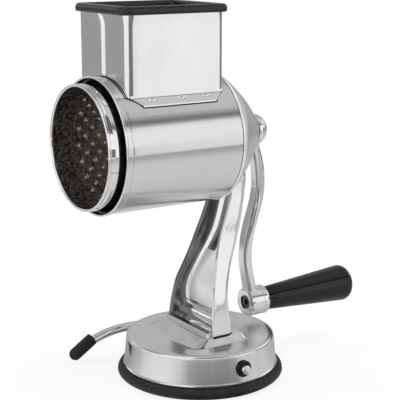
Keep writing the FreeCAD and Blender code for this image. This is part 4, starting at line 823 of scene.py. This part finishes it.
class SHREDDER_OT_hopper(bpy.types.Operator):
    """Folded hopper: four walls with a lapped seam in front, flanges on the barrel and dimples"""

    bl_idname = "shredder.hopper"
    bl_label = "Hopper"

    def execute(self, context):
        sizes = context.scene.shredder_sizes
        self.half, self.axis = sizes.hopper_half_width / MM, sizes.axis_height / MM
        self.seat = sizes.barrel_radius / MM + SEAT_GAP
        top = sizes.hopper_top / MM
        heights = [(None, 0.0)] + [(z, 0.0) for z in (244.0, 252.0, 260.0, 268.0, top - MOUTH)]
        heights += [(top - MOUTH * (1 - t), 0.7 * t * t * (3 - 2 * t))
                    for t in (0.2, 0.4, 0.55, 0.7, 0.85, 1.0)]
        bm = bmesh.new()
        loft(bm, [self.wall_loop(z, spread) for z, spread in heights])
        outwards(bm)
        thicken(bm, HOPPER_SHEET)

        def choose(normal, middle):
            # Painted shade on the sheet's inner faces low down.
            inner = middle.z < SHADED_BELOW and middle.x * normal.x < -0.5 * abs(middle.x)
            return "shaded_steel" if inner else "brushed_hopper"

        finishes = ["brushed_hopper", "shaded_steel"]
        paint(bm, finishes, choose)
        for side in (-1, 1):
            self.flange(bm, side)
            self.dimples(bm, side)
        add_piece("hopper_sheet", bm, finishes, "frame", ["hopper"], 40)
        self.foot_shade_line()
        return {"FINISHED"}

    def wall_loop(self, z, spread):
        """Plan of the walls; without a height it follows the barrel."""
        half, r = self.half + spread, 4.6 + 3.4 * spread
        y0, y1 = HOPPER_Y[0] - spread, HOPPER_Y[1] + spread
        lap, seam = y0 - LAP, -7.5 * spread
        corners = (((half - r, y0 + r), 270), ((half - r, y1 - r), 0), ((-half + r, y1 - r), 90),
                   ((-half + r, lap + r), 180))
        walls = (((half, y0 + r), (half, y1 - r), 8), ((half - r, y1), (-half + r, y1), 16),
                 ((-half, y1 - r), (-half, lap + r), 8), ((-half + r, lap), (seam - 1.4, lap), 8))
        points = []
        for (centre, first), wall in zip(corners, walls):
            points += bend(centre, r, first, 90, 5, True) + line(*wall)[1:]
        points += [(seam - 1.4, lap), (seam - 1.0, lap + 0.03), (seam + 2.6, lap + 0.84),
                   (seam + 2.9, y0 + 0.25)]
        points += line((seam + 3.3, y0), (half - r, y0), 8)
        return [Vector((x, y, z or self.axis + rise_at(x, self.seat))) * MM for x, y in points]

    def flange(self, bm, side):
        """Strip that lies on the barrel beside the hopper, with clipped ends."""
        half, seat, outer = self.half, self.seat, self.seat + STRIP
        profile = [(half - 0.6, 39.4), (half - 0.02, 38.9), (half + 0.12, 37.9), (half + 0.5, 37.0)]
        profile += [(half + out, rise_at(half + out, outer)) for out in (1.1, 2.0, 3.0, 3.9, 4.5)]
        profile.append((half + 4.62, rise_at(half + 4.5, outer) - 0.25))
        profile += [(half + out, rise_at(half + out, seat) - 0.04) for out in (4.6, 3.0, 1.5, 0.2, -0.6)]
        strip = bmesh.new()
        loft(strip, [[self.on_flange(side, x, rise, share) for x, rise in profile]
                     for share in (0.0, 0.03, 0.2, 0.4, 0.6, 0.8, 0.97, 1.0)], True, True)
        outwards(strip)
        join(bm, strip)

    def on_flange(self, side, x, rise, share):
        """Place on the strip; its lower corners are clipped."""
        low, high = HOPPER_Y[0] + 1.6, HOPPER_Y[1] - 1.2
        drop = min(max((CLIP_RISE - rise) / CLIP_SPAN, 0.0), 1.0) * CLIP
        return Vector((side * x, low + drop + (high - low - 2 * drop) * share, self.axis + rise)) * MM

    def dimples(self, bm, side):
        """Three pressed gussets across the bend."""
        for y in DIMPLES_Y:
            small = bmesh.new()
            bmesh.ops.create_icosphere(small, subdivisions=3, radius=MM)
            bmesh.ops.scale(small, vec=DIMPLE, verts=small.verts)
            bmesh.ops.translate(small, vec=Vector((side * (self.half + 1.1), y, self.axis + 35.3)) * MM,
                                verts=small.verts)
            outwards(small)
            join(bm, small)

    def foot_shade_line(self):
        """Painted shade: a dark line all round the foot of the hopper, where it meets the barrel."""
        bm = bmesh.new()
        for side in (1, -1):
            path = [self.on_saddle(side * x, HOPPER_Y[0] - LAP) for x in range(0, 33, 4)]
            path += [self.beside(side, out, 0.0, -0.1) for out in (1.4, 3.0, 4.7)]
            path += [self.beside(side, 4.75, share, 0.0) for share in (0.15, 0.5, 0.85)]
            path += [self.beside(side, out, 1.0, 0.6) for out in (4.7, 3.0, 1.4)]
            path += [self.on_saddle(side * x, HOPPER_Y[1] + 0.3) for x in range(32, -1, -4)]
            sweep_round(bm, path, 0.42 * MM, 8)
        outwards(bm)
        add_piece("hopper_gap", bm, ["dark_gap"], "frame", (), 60)

    def on_saddle(self, x, y):
        """Place just above the barrel, across the front or the back of the hopper."""
        return Vector((x, y, self.axis + rise_at(x, self.seat) + 0.1)) * MM

    def beside(self, side, out, share, shift):
        """Place just above the barrel, round a strip."""
        rise = rise_at(self.half + out, self.seat) + 0.15
        return self.on_flange(side, self.half + out, rise, share) + Y * (shift * MM)


class SHREDDER_OT_trim(bpy.types.Operator):
    """Black edge trim round the hopper's mouth"""

    bl_idname = "shredder.trim"
    bl_label = "Hopper trim"

    def execute(self, context):
        sizes = context.scene.shredder_sizes
        half, top = sizes.hopper_half_width / MM, sizes.hopper_top / MM
        # Distance outside the sheet's outer face and height above its edge, round the section.
        section = [(-1.0, -4.5), (-2.6, -4.5), (-2.95, -4.2), (-3.0, -3.6), (-3.0, 0.1), (-2.8, 0.75),
                   (-2.3, 1.2), (-1.6, 1.4), (0.9, 1.4), (1.9, 1.2), (2.7, 0.7), (3.2, 0.0), (3.45, -0.9),
                   (3.5, -2.0), (3.45, -3.4), (3.2, -4.1), (2.7, -4.5), (1.9, -4.6)]
        loops = []
        for out, rise in section:
            x, y = (-half - out, half + out), (HOPPER_Y[0] - LAP - out, HOPPER_Y[1] + out)
            loops.append(at_height(rounded_loop(x, y, 4.6 + max(out, -2.0) * 0.8, 6, 8), top + rise))
        bm = bmesh.new()
        loft(bm, loops + [loops[0]])
        tidy(bm)
        add_piece("hopper_edge", bm, ["trim_plastic"], "frame", ["hopper_trim"], 45)
        return {"FINISHED"}


# ------------------------------------------------------------------------ drum
TEETH = 22
TOOTH_PITCH = 5.54
TOOTH_ROWS = 13
FIRST_ROW = -80.56
DRUM_Y = (-102.3, -7.3)
DRUM_SHEET = 0.55
DRUM_INSET = 0.35           # from the drum's radius to its sheet's middle
# Half length of each loop round a tooth and its height above the sheet, from the burr's foot to its tip.
BURR = ((2.68, 0.0), (2.3, 0.22), (1.75, 0.8), (1.3, 1.35), (1.0, 1.6), (0.72, 1.45), (0.5, 1.05))
BURR_WIDTH = 1.12           # width of a burr for its length
GLINT_TIP = 1.3              # height above which the teeth's tips outside get a painted highlight, further back than the y on the next line
GLINTS_FROM_Y = -70.0
# Finishes of the drum's inside by the least height above the sheet's middle: tips with a painted highlight,
# hollows with painted shade, their borders with a lighter painted highlight.
DRUM_INSIDE = ((0.62, "bright_rim"), (-0.2, "drum_pits"), (-0.5, "drum_burr"))
RING_FRONT = -103.6
RING_SEAM = -14.0           # where the ring's seam is, degrees above +X


class SHREDDER_OT_drum(bpy.types.Operator):
    """Perforated drum with staggered rows of pierced teeth, and its polished mouth ring"""

    bl_idname = "shredder.drum"
    bl_label = "Drum"

    def execute(self, context):
        drum = context.scene.shredder_sizes.drum_radius / MM
        centre, radius, step = axis_point(), drum - DRUM_INSET, 360.0 / TEETH
        bm = bmesh.new()
        loft(bm, self.cell(centre, radius, step))
        cell = bm.verts[:] + bm.edges[:] + bm.faces[:]
        bmesh.ops.spin(bm, geom=cell, cent=centre, axis=Y, angle=math.radians(360.0 - step), steps=TEETH - 1,
                       use_duplicate=True, dvec=(0, 0, 0))
        bmesh.ops.remove_doubles(bm, verts=bm.verts, dist=1e-5)
        row = bm.verts[:] + bm.edges[:] + bm.faces[:]
        for i in range(1, TOOTH_ROWS):
            verts = moved_verts(bmesh.ops.duplicate(bm, geom=row)["geom"])
            bmesh.ops.translate(bm, vec=Y * (TOOTH_PITCH * i * MM), verts=verts)
            if i % 2:
                turn = Matrix.Rotation(math.radians(step / 2), 3, "Y")
                bmesh.ops.rotate(bm, cent=centre, matrix=turn, verts=verts)
        first = FIRST_ROW - TOOTH_PITCH / 2
        last = FIRST_ROW + TOOTH_PITCH * (TOOTH_ROWS - 0.5)
        for y0, y1 in ((DRUM_Y[0], first), (last, DRUM_Y[1])):
            lathe(bm, [(y0, radius), (y1, radius)], centre, steps=TEETH * 2, closed=False)
        tidy(bm, 1e-5)
        thicken(bm, DRUM_SHEET)

        def choose(normal, middle):
            facing, reach = from_axis(normal, middle)
            reach -= radius
            # Outside: painted shade all over, and a painted highlight on the tooth tips further back.
            if facing > 0.2:
                return "drum_burr" if reach > GLINT_TIP and middle.y > GLINTS_FROM_Y else "drum_outside"
            return next((name for least, name in DRUM_INSIDE if reach > least), "drum_steel")

        finishes = ["drum_steel", "drum_outside", "drum_pits", "bright_rim", "drum_burr"]
        paint(bm, finishes, choose)
        add_piece("drum_sheet", bm, finishes, "drum", ["drum_shell"], 50)
        self.ring(centre, drum)
        return {"FINISHED"}

    def cell(self, centre, radius, step):
        """Loops of one tooth's field: its border, the foot of the burr and its pierced tip."""
        border = [(1, 0), (1, 1), (0, 1), (-1, 1), (-1, 0), (-1, -1), (0, -1), (1, -1)]
        loops = [[(math.radians(u * step / 2), v * TOOTH_PITCH / 2, radius) for u, v in border]]
        loops += [[(BURR_WIDTH * u / radius, v, radius + rise) for u, v in bend((0, 0), size, 0, 360, 8)]
                  for size, rise in BURR]
        return [[centre + Vector((reach * math.sin(turn), FIRST_ROW + along, reach * math.cos(turn))) * MM
                 for turn, along, reach in loop] for loop in loops]

    def ring(self, centre, drum):
        """Band with a butt seam and the rolled bead in front of it."""
        band = [(1.2, 0.05), (1.2, 0.3), (2.4, 0.25), (3.0, 0.4), (3.6, 0.75), (4.2, 0.95), (5.0, 1.05),
                (7.6, 1.05), (8.1, 0.93), (8.4, 0.6), (8.4, 0.05)]
        x, z = on_circle((0, 0), 1, RING_SEAM)
        bm = turned(shifted(band, RING_FRONT, drum), centre, side=X * x + Z * z, steps=140, sweep=359.5)
        ends = [edge for edge in bm.edges if len(edge.link_faces) == 1]
        bmesh.ops.holes_fill(bm, edges=ends, sides=8)
        outwards(bm)
        bead = [(1.2 + 1.2 * u, -0.1 + 1.15 * v) for u, v in bend((0, 0), 1, 0, 360, 16)]
        join(bm, turned(shifted(bead, RING_FRONT, drum), centre, steps=144))
        add_piece("drum_ring", bm, ["mirror_ring"], "drum", ["drum_rim"], 40)


# ----------------------------------------------------------------------- crank
# Height below the drum's axis, middle y, width along x and depth along y.
ARM = (
    (4.0, 49.6, 13.0, 3.4), (14.0, 50.2, 11.2, 6.8), (21.0, 52.2, 10.6, 8.0), (31.0, 54.2, 10.6, 8.5),
    (43.0, 54.9, 10.6, 8.5), (53.0, 53.9, 11.0, 8.4), (62.0, 51.7, 11.8, 8.0), (73.0, 48.1, 12.6, 7.5),
    (84.0, 45.0, 12.4, 7.3), (96.0, 43.2, 12.0, 7.3), (106.0, 43.2, 12.2, 7.3), (116.0, 44.8, 12.6, 7.2),
    (125.0, 46.7, 13.2, 7.1), (133.0, 48.4, 13.8, 7.6),
)
HUB_Y = 48.1
BOSS_Y = 43.6
NUT_Y = HUB_Y + 3.95
COLLAR_Y = BOSS_Y + 12.05
SCREW_HOLE = 3.05


def grip_point():
    """Point on the grip's axis in the plane of y = 0."""
    return axis_point() - Z * bpy.context.scene.shredder_sizes.crank_radius


class SHREDDER_OT_crank(bpy.types.Operator):
    """Polished S-shaped crank arm with its hub, boss, domed nut and collar"""

    bl_idname = "shredder.crank"
    bl_label = "Crank"

    def execute(self, context):
        centre, grip = axis_point(), grip_point()
        loops = []
        for below, y, width, depth in smooth_table(ARM, 2.0):
            section = rounded_loop((-width / 2, width / 2), (y - depth / 2, y + depth / 2),
                                   min(3.2, depth * 0.44), 2, 5)
            loops.append(at_height(section, centre.z / MM - below))
        bm = bmesh.new()
        loft(bm, loops, True, True)
        outwards(bm)

        def choose(normal, middle):
            # Painted shade along the arm's front corner on the +X side.
            return "arm_edge" if 0.35 < normal.x < 0.88 and normal.y < -0.3 else "polished_cast"

        finishes = ["polished_cast", "arm_edge"]
        paint(bm, finishes, choose)
        hub = [(0, 4.2), (0, 11.2), (0.3, 11.7), (0.9, 11.9), (3.6, 11.9), (3.85, 11.7), (3.9, 4.2)]
        join(bm, turned(shifted(hub, HUB_Y), centre, steps=72))
        boss = [(0, 6.1), (0, 10.5), (0.35, 11.2), (1.0, 11.5), (11.7, 11.5), (12.0, 11.2), (12.0, SCREW_HOLE),
                (5.4, SCREW_HOLE), (5.4, 6.1)]
        join(bm, turned(shifted(boss, BOSS_Y), grip, steps=72))
        add_piece("crank", bm, finishes, "crank", ["crank_arm"], 40)
        dome = [(0, 0), (0, 11.7)] + arc_points((0.6, 11.7), (5.95, 6.7), (7.6, 0.0), 14)
        bm = turned(shifted(dome, NUT_Y), centre, steps=72, closed=False)
        add_piece("crank_nut", bm, ["polished_cast"], "crank", ["crank_cap"], 40)
        collar = [(0, SCREW_HOLE), (0, 11.2), (0.25, 11.5), (4.2, 11.5), (4.9, 11.15), (5.3, 10.4), (5.4, 9.6),
                  (5.4, SCREW_HOLE)]
        bm = turned(shifted(collar, COLLAR_Y), grip, steps=72)
        add_piece("collar", bm, ["polished_cast"], "crank", ["grip_collar"], 40)
        return {"FINISHED"}


class SHREDDER_OT_grip(bpy.types.Operator):
    """Tapered black grip with a rounded, crowned end"""

    bl_idname = "shredder.grip"
    bl_label = "Grip"

    def execute(self, context):
        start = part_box("grip")[0].y / MM
        end = start + context.scene.shredder_sizes.grip_length / MM
        wide = end - 8.1
        outline = shifted([(0, 3.06), (0, 8.6), (0.2, 9.0), (0.7, 9.25)], start)
        outline += [(start + 0.7 + (wide - start - 0.7) * t, 9.25 + (15.0 - 9.25) * t)
                    for t in (0.25, 0.5, 0.75, 0.97)]
        outline += bend((wide, 8.5), 6.5, 90, -84, 7, True)
        outline += shifted([(-0.85, 6.2), (-0.3, 3.6), (-0.02, 1.4), (0, 0)], end)
        outline += shifted([(62.0, 0), (62.0, 3.06)], start)
        bm = turned(outline, grip_point())
        add_piece("grip_handle", bm, ["gloss_grip"], "grip", ["grip"], 40)
        return {"FINISHED"}


SMALL_PARTS = {
    "zinc_steel": ("axle_bracket", "foot_washers", "foot_screws", "axle_clip", "cam_pin", "pad_lifter",
                   "barrel_screws", "drum_rivets", "drive_shaft", "detent_ball", "detent_spring", "grip_ring"),
    "black_plastic": ("eccentric_cam", "shaft_bush", "drum_hub", "crank_washer"),
    "drum_steel": ("drum_back",),
    "dark_screw": ("grip_screw",),
}


class SHREDDER_OT_small_parts(bpy.types.Operator):
    """Finishes of the small parts that keep the frame's own shapes"""

    bl_idname = "shredder.small_parts"
    bl_label = "Small parts"

    def execute(self, context):
        for key, nodes in SMALL_PARTS.items():
            for node in nodes:
                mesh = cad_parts[node].data
                mesh.materials.clear()
                mesh.materials.append(finish(key))
        return {"FINISHED"}


# ----------------------------------------------------------------------- stage
# Grey screens round the object: azimuth from +X, elevation, and grey level.
SCREENS = (
    (-44.0, 16.0, -9.0, 4.0, 0.18),
    (-44.0, 16.0, 28.0, 60.0, 0.14),
    (-164.0, -104.0, 20.0, 62.0, 0.4),
    (150.0, 232.0, -9.0, 8.0, 0.36),
    (112.0, 190.0, 8.3, 48.0, 0.52),
    (57.0, 84.0, -9.0, 8.0, 0.16),
    (84.0, 150.0, -9.0, 8.0, 0.3),
    (12.0, 75.0, -13.5, -9.5, 0.3),
)
SCREEN_DISTANCE = 1.7
SCREEN_CENTRE = 0.17        # height of the point that they stand round
# Screens that run along the barrel: angle above +X about the barrel's axis, and grey level.
LONG_SCREENS = ((2.6, 34.3, 1.0), (34.5, 37.8, 0.5), (38.0, 46.2, 0.17), (46.4, 51.6, 0.36),
                (51.8, 100.0, 0.64), (100.3, 150.0, 0.4))
LONG_DISTANCE = 1.9
LONG_ENDS = (-0.4, 3.0)
# Brightness of the floor in mirrors, by distance from the middle in metres.
FLOOR_FAR = ((0.0, 0.6), (0.13, 0.66), (0.2, 0.7), (0.35, 0.7), (0.45, 0.67), (0.53, 0.6), (0.62, 0.5),
             (0.75, 0.43), (0.9, 0.4))
# The same close to the foot, by direction in degrees from +X.
FLOOR_NEAR = ((-180, 0.36), (-154, 0.34), (-132, 0.38), (-115, 0.6), (-100, 0.88), (-86, 0.9), (-73, 0.92),
              (-60, 0.76), (-48, 0.36), (-36, 0.22), (-18, 0.15), (0, 0.18), (10, 0.26), (18, 0.66), (38, 0.7),
              (56, 0.66), (75, 0.5), (102, 0.4), (140, 0.4), (180, 0.36))


def emitting(name, value):
    """Material that shines with one grey level."""
    made = new_material(name)
    made.node_tree.nodes.clear()
    nodes = Nodes(made.node_tree)
    light = nodes.node("Emission", {"Color": (value, value, value, 1.0)})
    nodes.node("OutputMaterial", {"Surface": light.outputs["Emission"]})
    return made


def greys(table):
    """Stops of a ramp from pairs of place and grey level."""
    return [(place, (grey, grey, grey)) for place, grey in table]


class SHREDDER_OT_stage(bpy.types.Operator):
    """Pale floor, white surroundings, screens, soft lamps and the camera"""

    bl_idname = "shredder.stage"
    bl_label = "Stage"

    def execute(self, context):
        self.surroundings(context.scene)
        self.floor(context.scene)
        self.screens()
        self.lamp("key", (-0.75, -0.9, 1.25), 0.7, 9.0)
        self.lamp("top", (0.35, 0.25, 1.5), 0.8, 9.0)
        self.camera(context.scene)
        return {"FINISHED"}

    def surroundings(self, scene):
        """White for the camera and in mirrors; softer as light."""
        scene.world = bpy.data.worlds.new("surroundings")
        scene.world.use_nodes = True
        nodes = Nodes(scene.world.node_tree)
        path = nodes.node("LightPath").outputs
        seen = nodes.any_of(path["Is Camera Ray"], path["Is Glossy Ray"], path["Is Transmission Ray"])
        background = nodes.tree.nodes["Background"].inputs
        nodes.feed(background["Color"], (1.0, 1.0, 1.0, 1.0))
        nodes.feed(background["Strength"], nodes.spread(seen, 0.55, 1.0, 0.0, 1.0))

    def floor(self, scene):
        made = new_material("pale_floor")
        made.node_tree.nodes.clear()
        nodes = Nodes(made.node_tree)
        path = nodes.node("LightPath").outputs
        seen = nodes.any_of(path["Is Camera Ray"], path["Is Transmission Ray"])
        # The glow fades the floor into the white surroundings away from the object.
        coords = nodes.node("TexCoord").outputs["Object"]
        reach = nodes.node("VectorMath", {0: coords}, operation="LENGTH").outputs["Value"]
        fade = nodes.spread(reach, 0.86, 1.0, 0.1, 0.35)
        # In mirrors the floor's grey goes by direction close to the foot, and by distance further out and
        # in the parts that stand higher.
        spot = nodes.node("SeparateXYZ", {0: coords}).outputs
        turn = nodes.math("MULTIPLY_ADD", nodes.math("ARCTAN2", spot["Y"], spot["X"]), 0.5 / math.pi, 0.5)
        near = nodes.ramp(turn, greys((angle / 360 + 0.5, grey) for angle, grey in FLOOR_NEAR))
        away = nodes.any_of(nodes.spread(reach, 0.0, 0.65, 0.14, 0.3),
                            nodes.spread(path["Ray Length"], 0.0, 1.0, 0.13, 0.19))
        mirrored = nodes.mix(away, near, nodes.ramp(reach, greys(FLOOR_FAR)))
        glow = nodes.node("Emission", {"Strength": nodes.mix(seen, mirrored, 1.0)})
        share = nodes.mix(seen, nodes.math("MULTIPLY", path["Is Glossy Ray"], 0.9), fade)
        diffuse = nodes.node("BsdfDiffuse", {"Color": (*scene.shredder_colours.floor, 1.0)})
        mixed = nodes.node("MixShader", {"Fac": share, 1: diffuse.outputs[0], 2: glow.outputs[0]})
        nodes.node("OutputMaterial", {"Surface": mixed.outputs["Shader"]})
        bm = bmesh.new()
        bmesh.ops.create_circle(bm, cap_ends=True, segments=128, radius=0.95)
        new_object("floor", bm, [made])

    def screens(self):
        """Curved screens that only mirrors see."""
        for i, (low, high, grey) in enumerate(LONG_SCREENS):
            x, z = on_circle((0, 0), LONG_DISTANCE, low)
            ends = [axis_point() + Vector((x, y, z)) for y in LONG_ENDS]
            self.hang("long_screen_%d" % i, ends, axis_point(), -Y, high - low, 24, grey)
        for i, (az0, az1, el0, el1, grey) in enumerate(SCREENS):
            rows = max(int((el1 - el0) / 8), 1)
            turn = Matrix.Rotation(math.radians(az0), 3, "Z")
            side = [turn @ Vector((flat, 0, SCREEN_CENTRE + rise))
                    for flat, rise in bend((0, 0), SCREEN_DISTANCE, el0, el1 - el0, rows, True)]
            self.hang("screen_%d" % i, side, Vector(), Z, az1 - az0, 48, grey)

    def hang(self, name, side, centre, axis, turn, steps, grey):
        """Screen swept from one of its sides, for mirrors only."""
        bm = bmesh.new()
        verts = [bm.verts.new(place) for place in side]
        edges = [bm.edges.new(pair) for pair in zip(verts, verts[1:])]
        bmesh.ops.spin(bm, geom=verts + edges, cent=centre, axis=axis, dvec=(0, 0, 0),
                       angle=math.radians(turn), steps=steps, use_duplicate=False)
        screen = new_object(name, bm, [emitting(name + "_grey", grey)])
        screen.visible_camera = False
        screen.visible_diffuse = False
        screen.visible_shadow = False

    def lamp(self, name, place, size, power):
        data = bpy.data.lights.new(name, "AREA")
        data.shape = "DISK"
        data.size = size
        data.energy = power
        lamp = self.aimed(name, data, place, (0, 0, 0.15))
        lamp.visible_glossy = False

    def camera(self, scene):
        data = bpy.data.cameras.new("camera")
        data.sensor_width = 36.0
        data.lens = 102.29
        scene.camera = self.aimed("camera", data, (0.708995, -0.469904, 0.331315), (0, 0, 0.13919))
        scene.view_settings.view_transform = "Standard"

    def aimed(self, name, data, place, target):
        """Object at a place that looks at a target."""
        made = bpy.data.objects.new(name, data)
        made.location = place
        made.rotation_euler = (Vector(target) - Vector(place)).to_track_quat("-Z", "Y").to_euler()
        bpy.context.scene.collection.objects.link(made)
        return made


# ----------------------------------------------------------------------- panel
OPERATORS = (SHREDDER_OT_foot, SHREDDER_OT_pan, SHREDDER_OT_bushes, SHREDDER_OT_lever, SHREDDER_OT_stand,
             SHREDDER_OT_barrel, SHREDDER_OT_hopper, SHREDDER_OT_trim, SHREDDER_OT_drum, SHREDDER_OT_crank,
             SHREDDER_OT_grip, SHREDDER_OT_small_parts, SHREDDER_OT_stage)


class SHREDDER_PT_panel(bpy.types.Panel):
    """Lists the pieces, sizes and colours in the sidebar"""

    bl_label = "Drum shredder"
    bl_idname = "SHREDDER_PT_panel"
    bl_space_type = "VIEW_3D"
    bl_region_type = "UI"
    bl_category = "Shredder"

    def draw(self, context):
        column = self.layout.column()
        for operator in OPERATORS:
            column.operator(operator.bl_idname)
        for group in (context.scene.shredder_sizes, context.scene.shredder_colours):
            box = self.layout.box()
            for name in group.__annotations__:
                box.prop(group, name)


CLASSES = (ShredderSizes, ShredderColours, *OPERATORS, SHREDDER_PT_panel)


def register():
    for cls in CLASSES:
        bpy.utils.register_class(cls)
    bpy.types.Scene.shredder_sizes = bpy.props.PointerProperty(type=ShredderSizes)
    bpy.types.Scene.shredder_colours = bpy.props.PointerProperty(type=ShredderColours)


def unregister():
    del bpy.types.Scene.shredder_colours
    del bpy.types.Scene.shredder_sizes
    for cls in reversed(CLASSES):
        bpy.utils.unregister_class(cls)


def main():
    register()
    for operator in OPERATORS:
        group, name = operator.bl_idname.split(".")
        getattr(getattr(bpy.ops, group), name)()


if __name__ == "__main__":
    main()
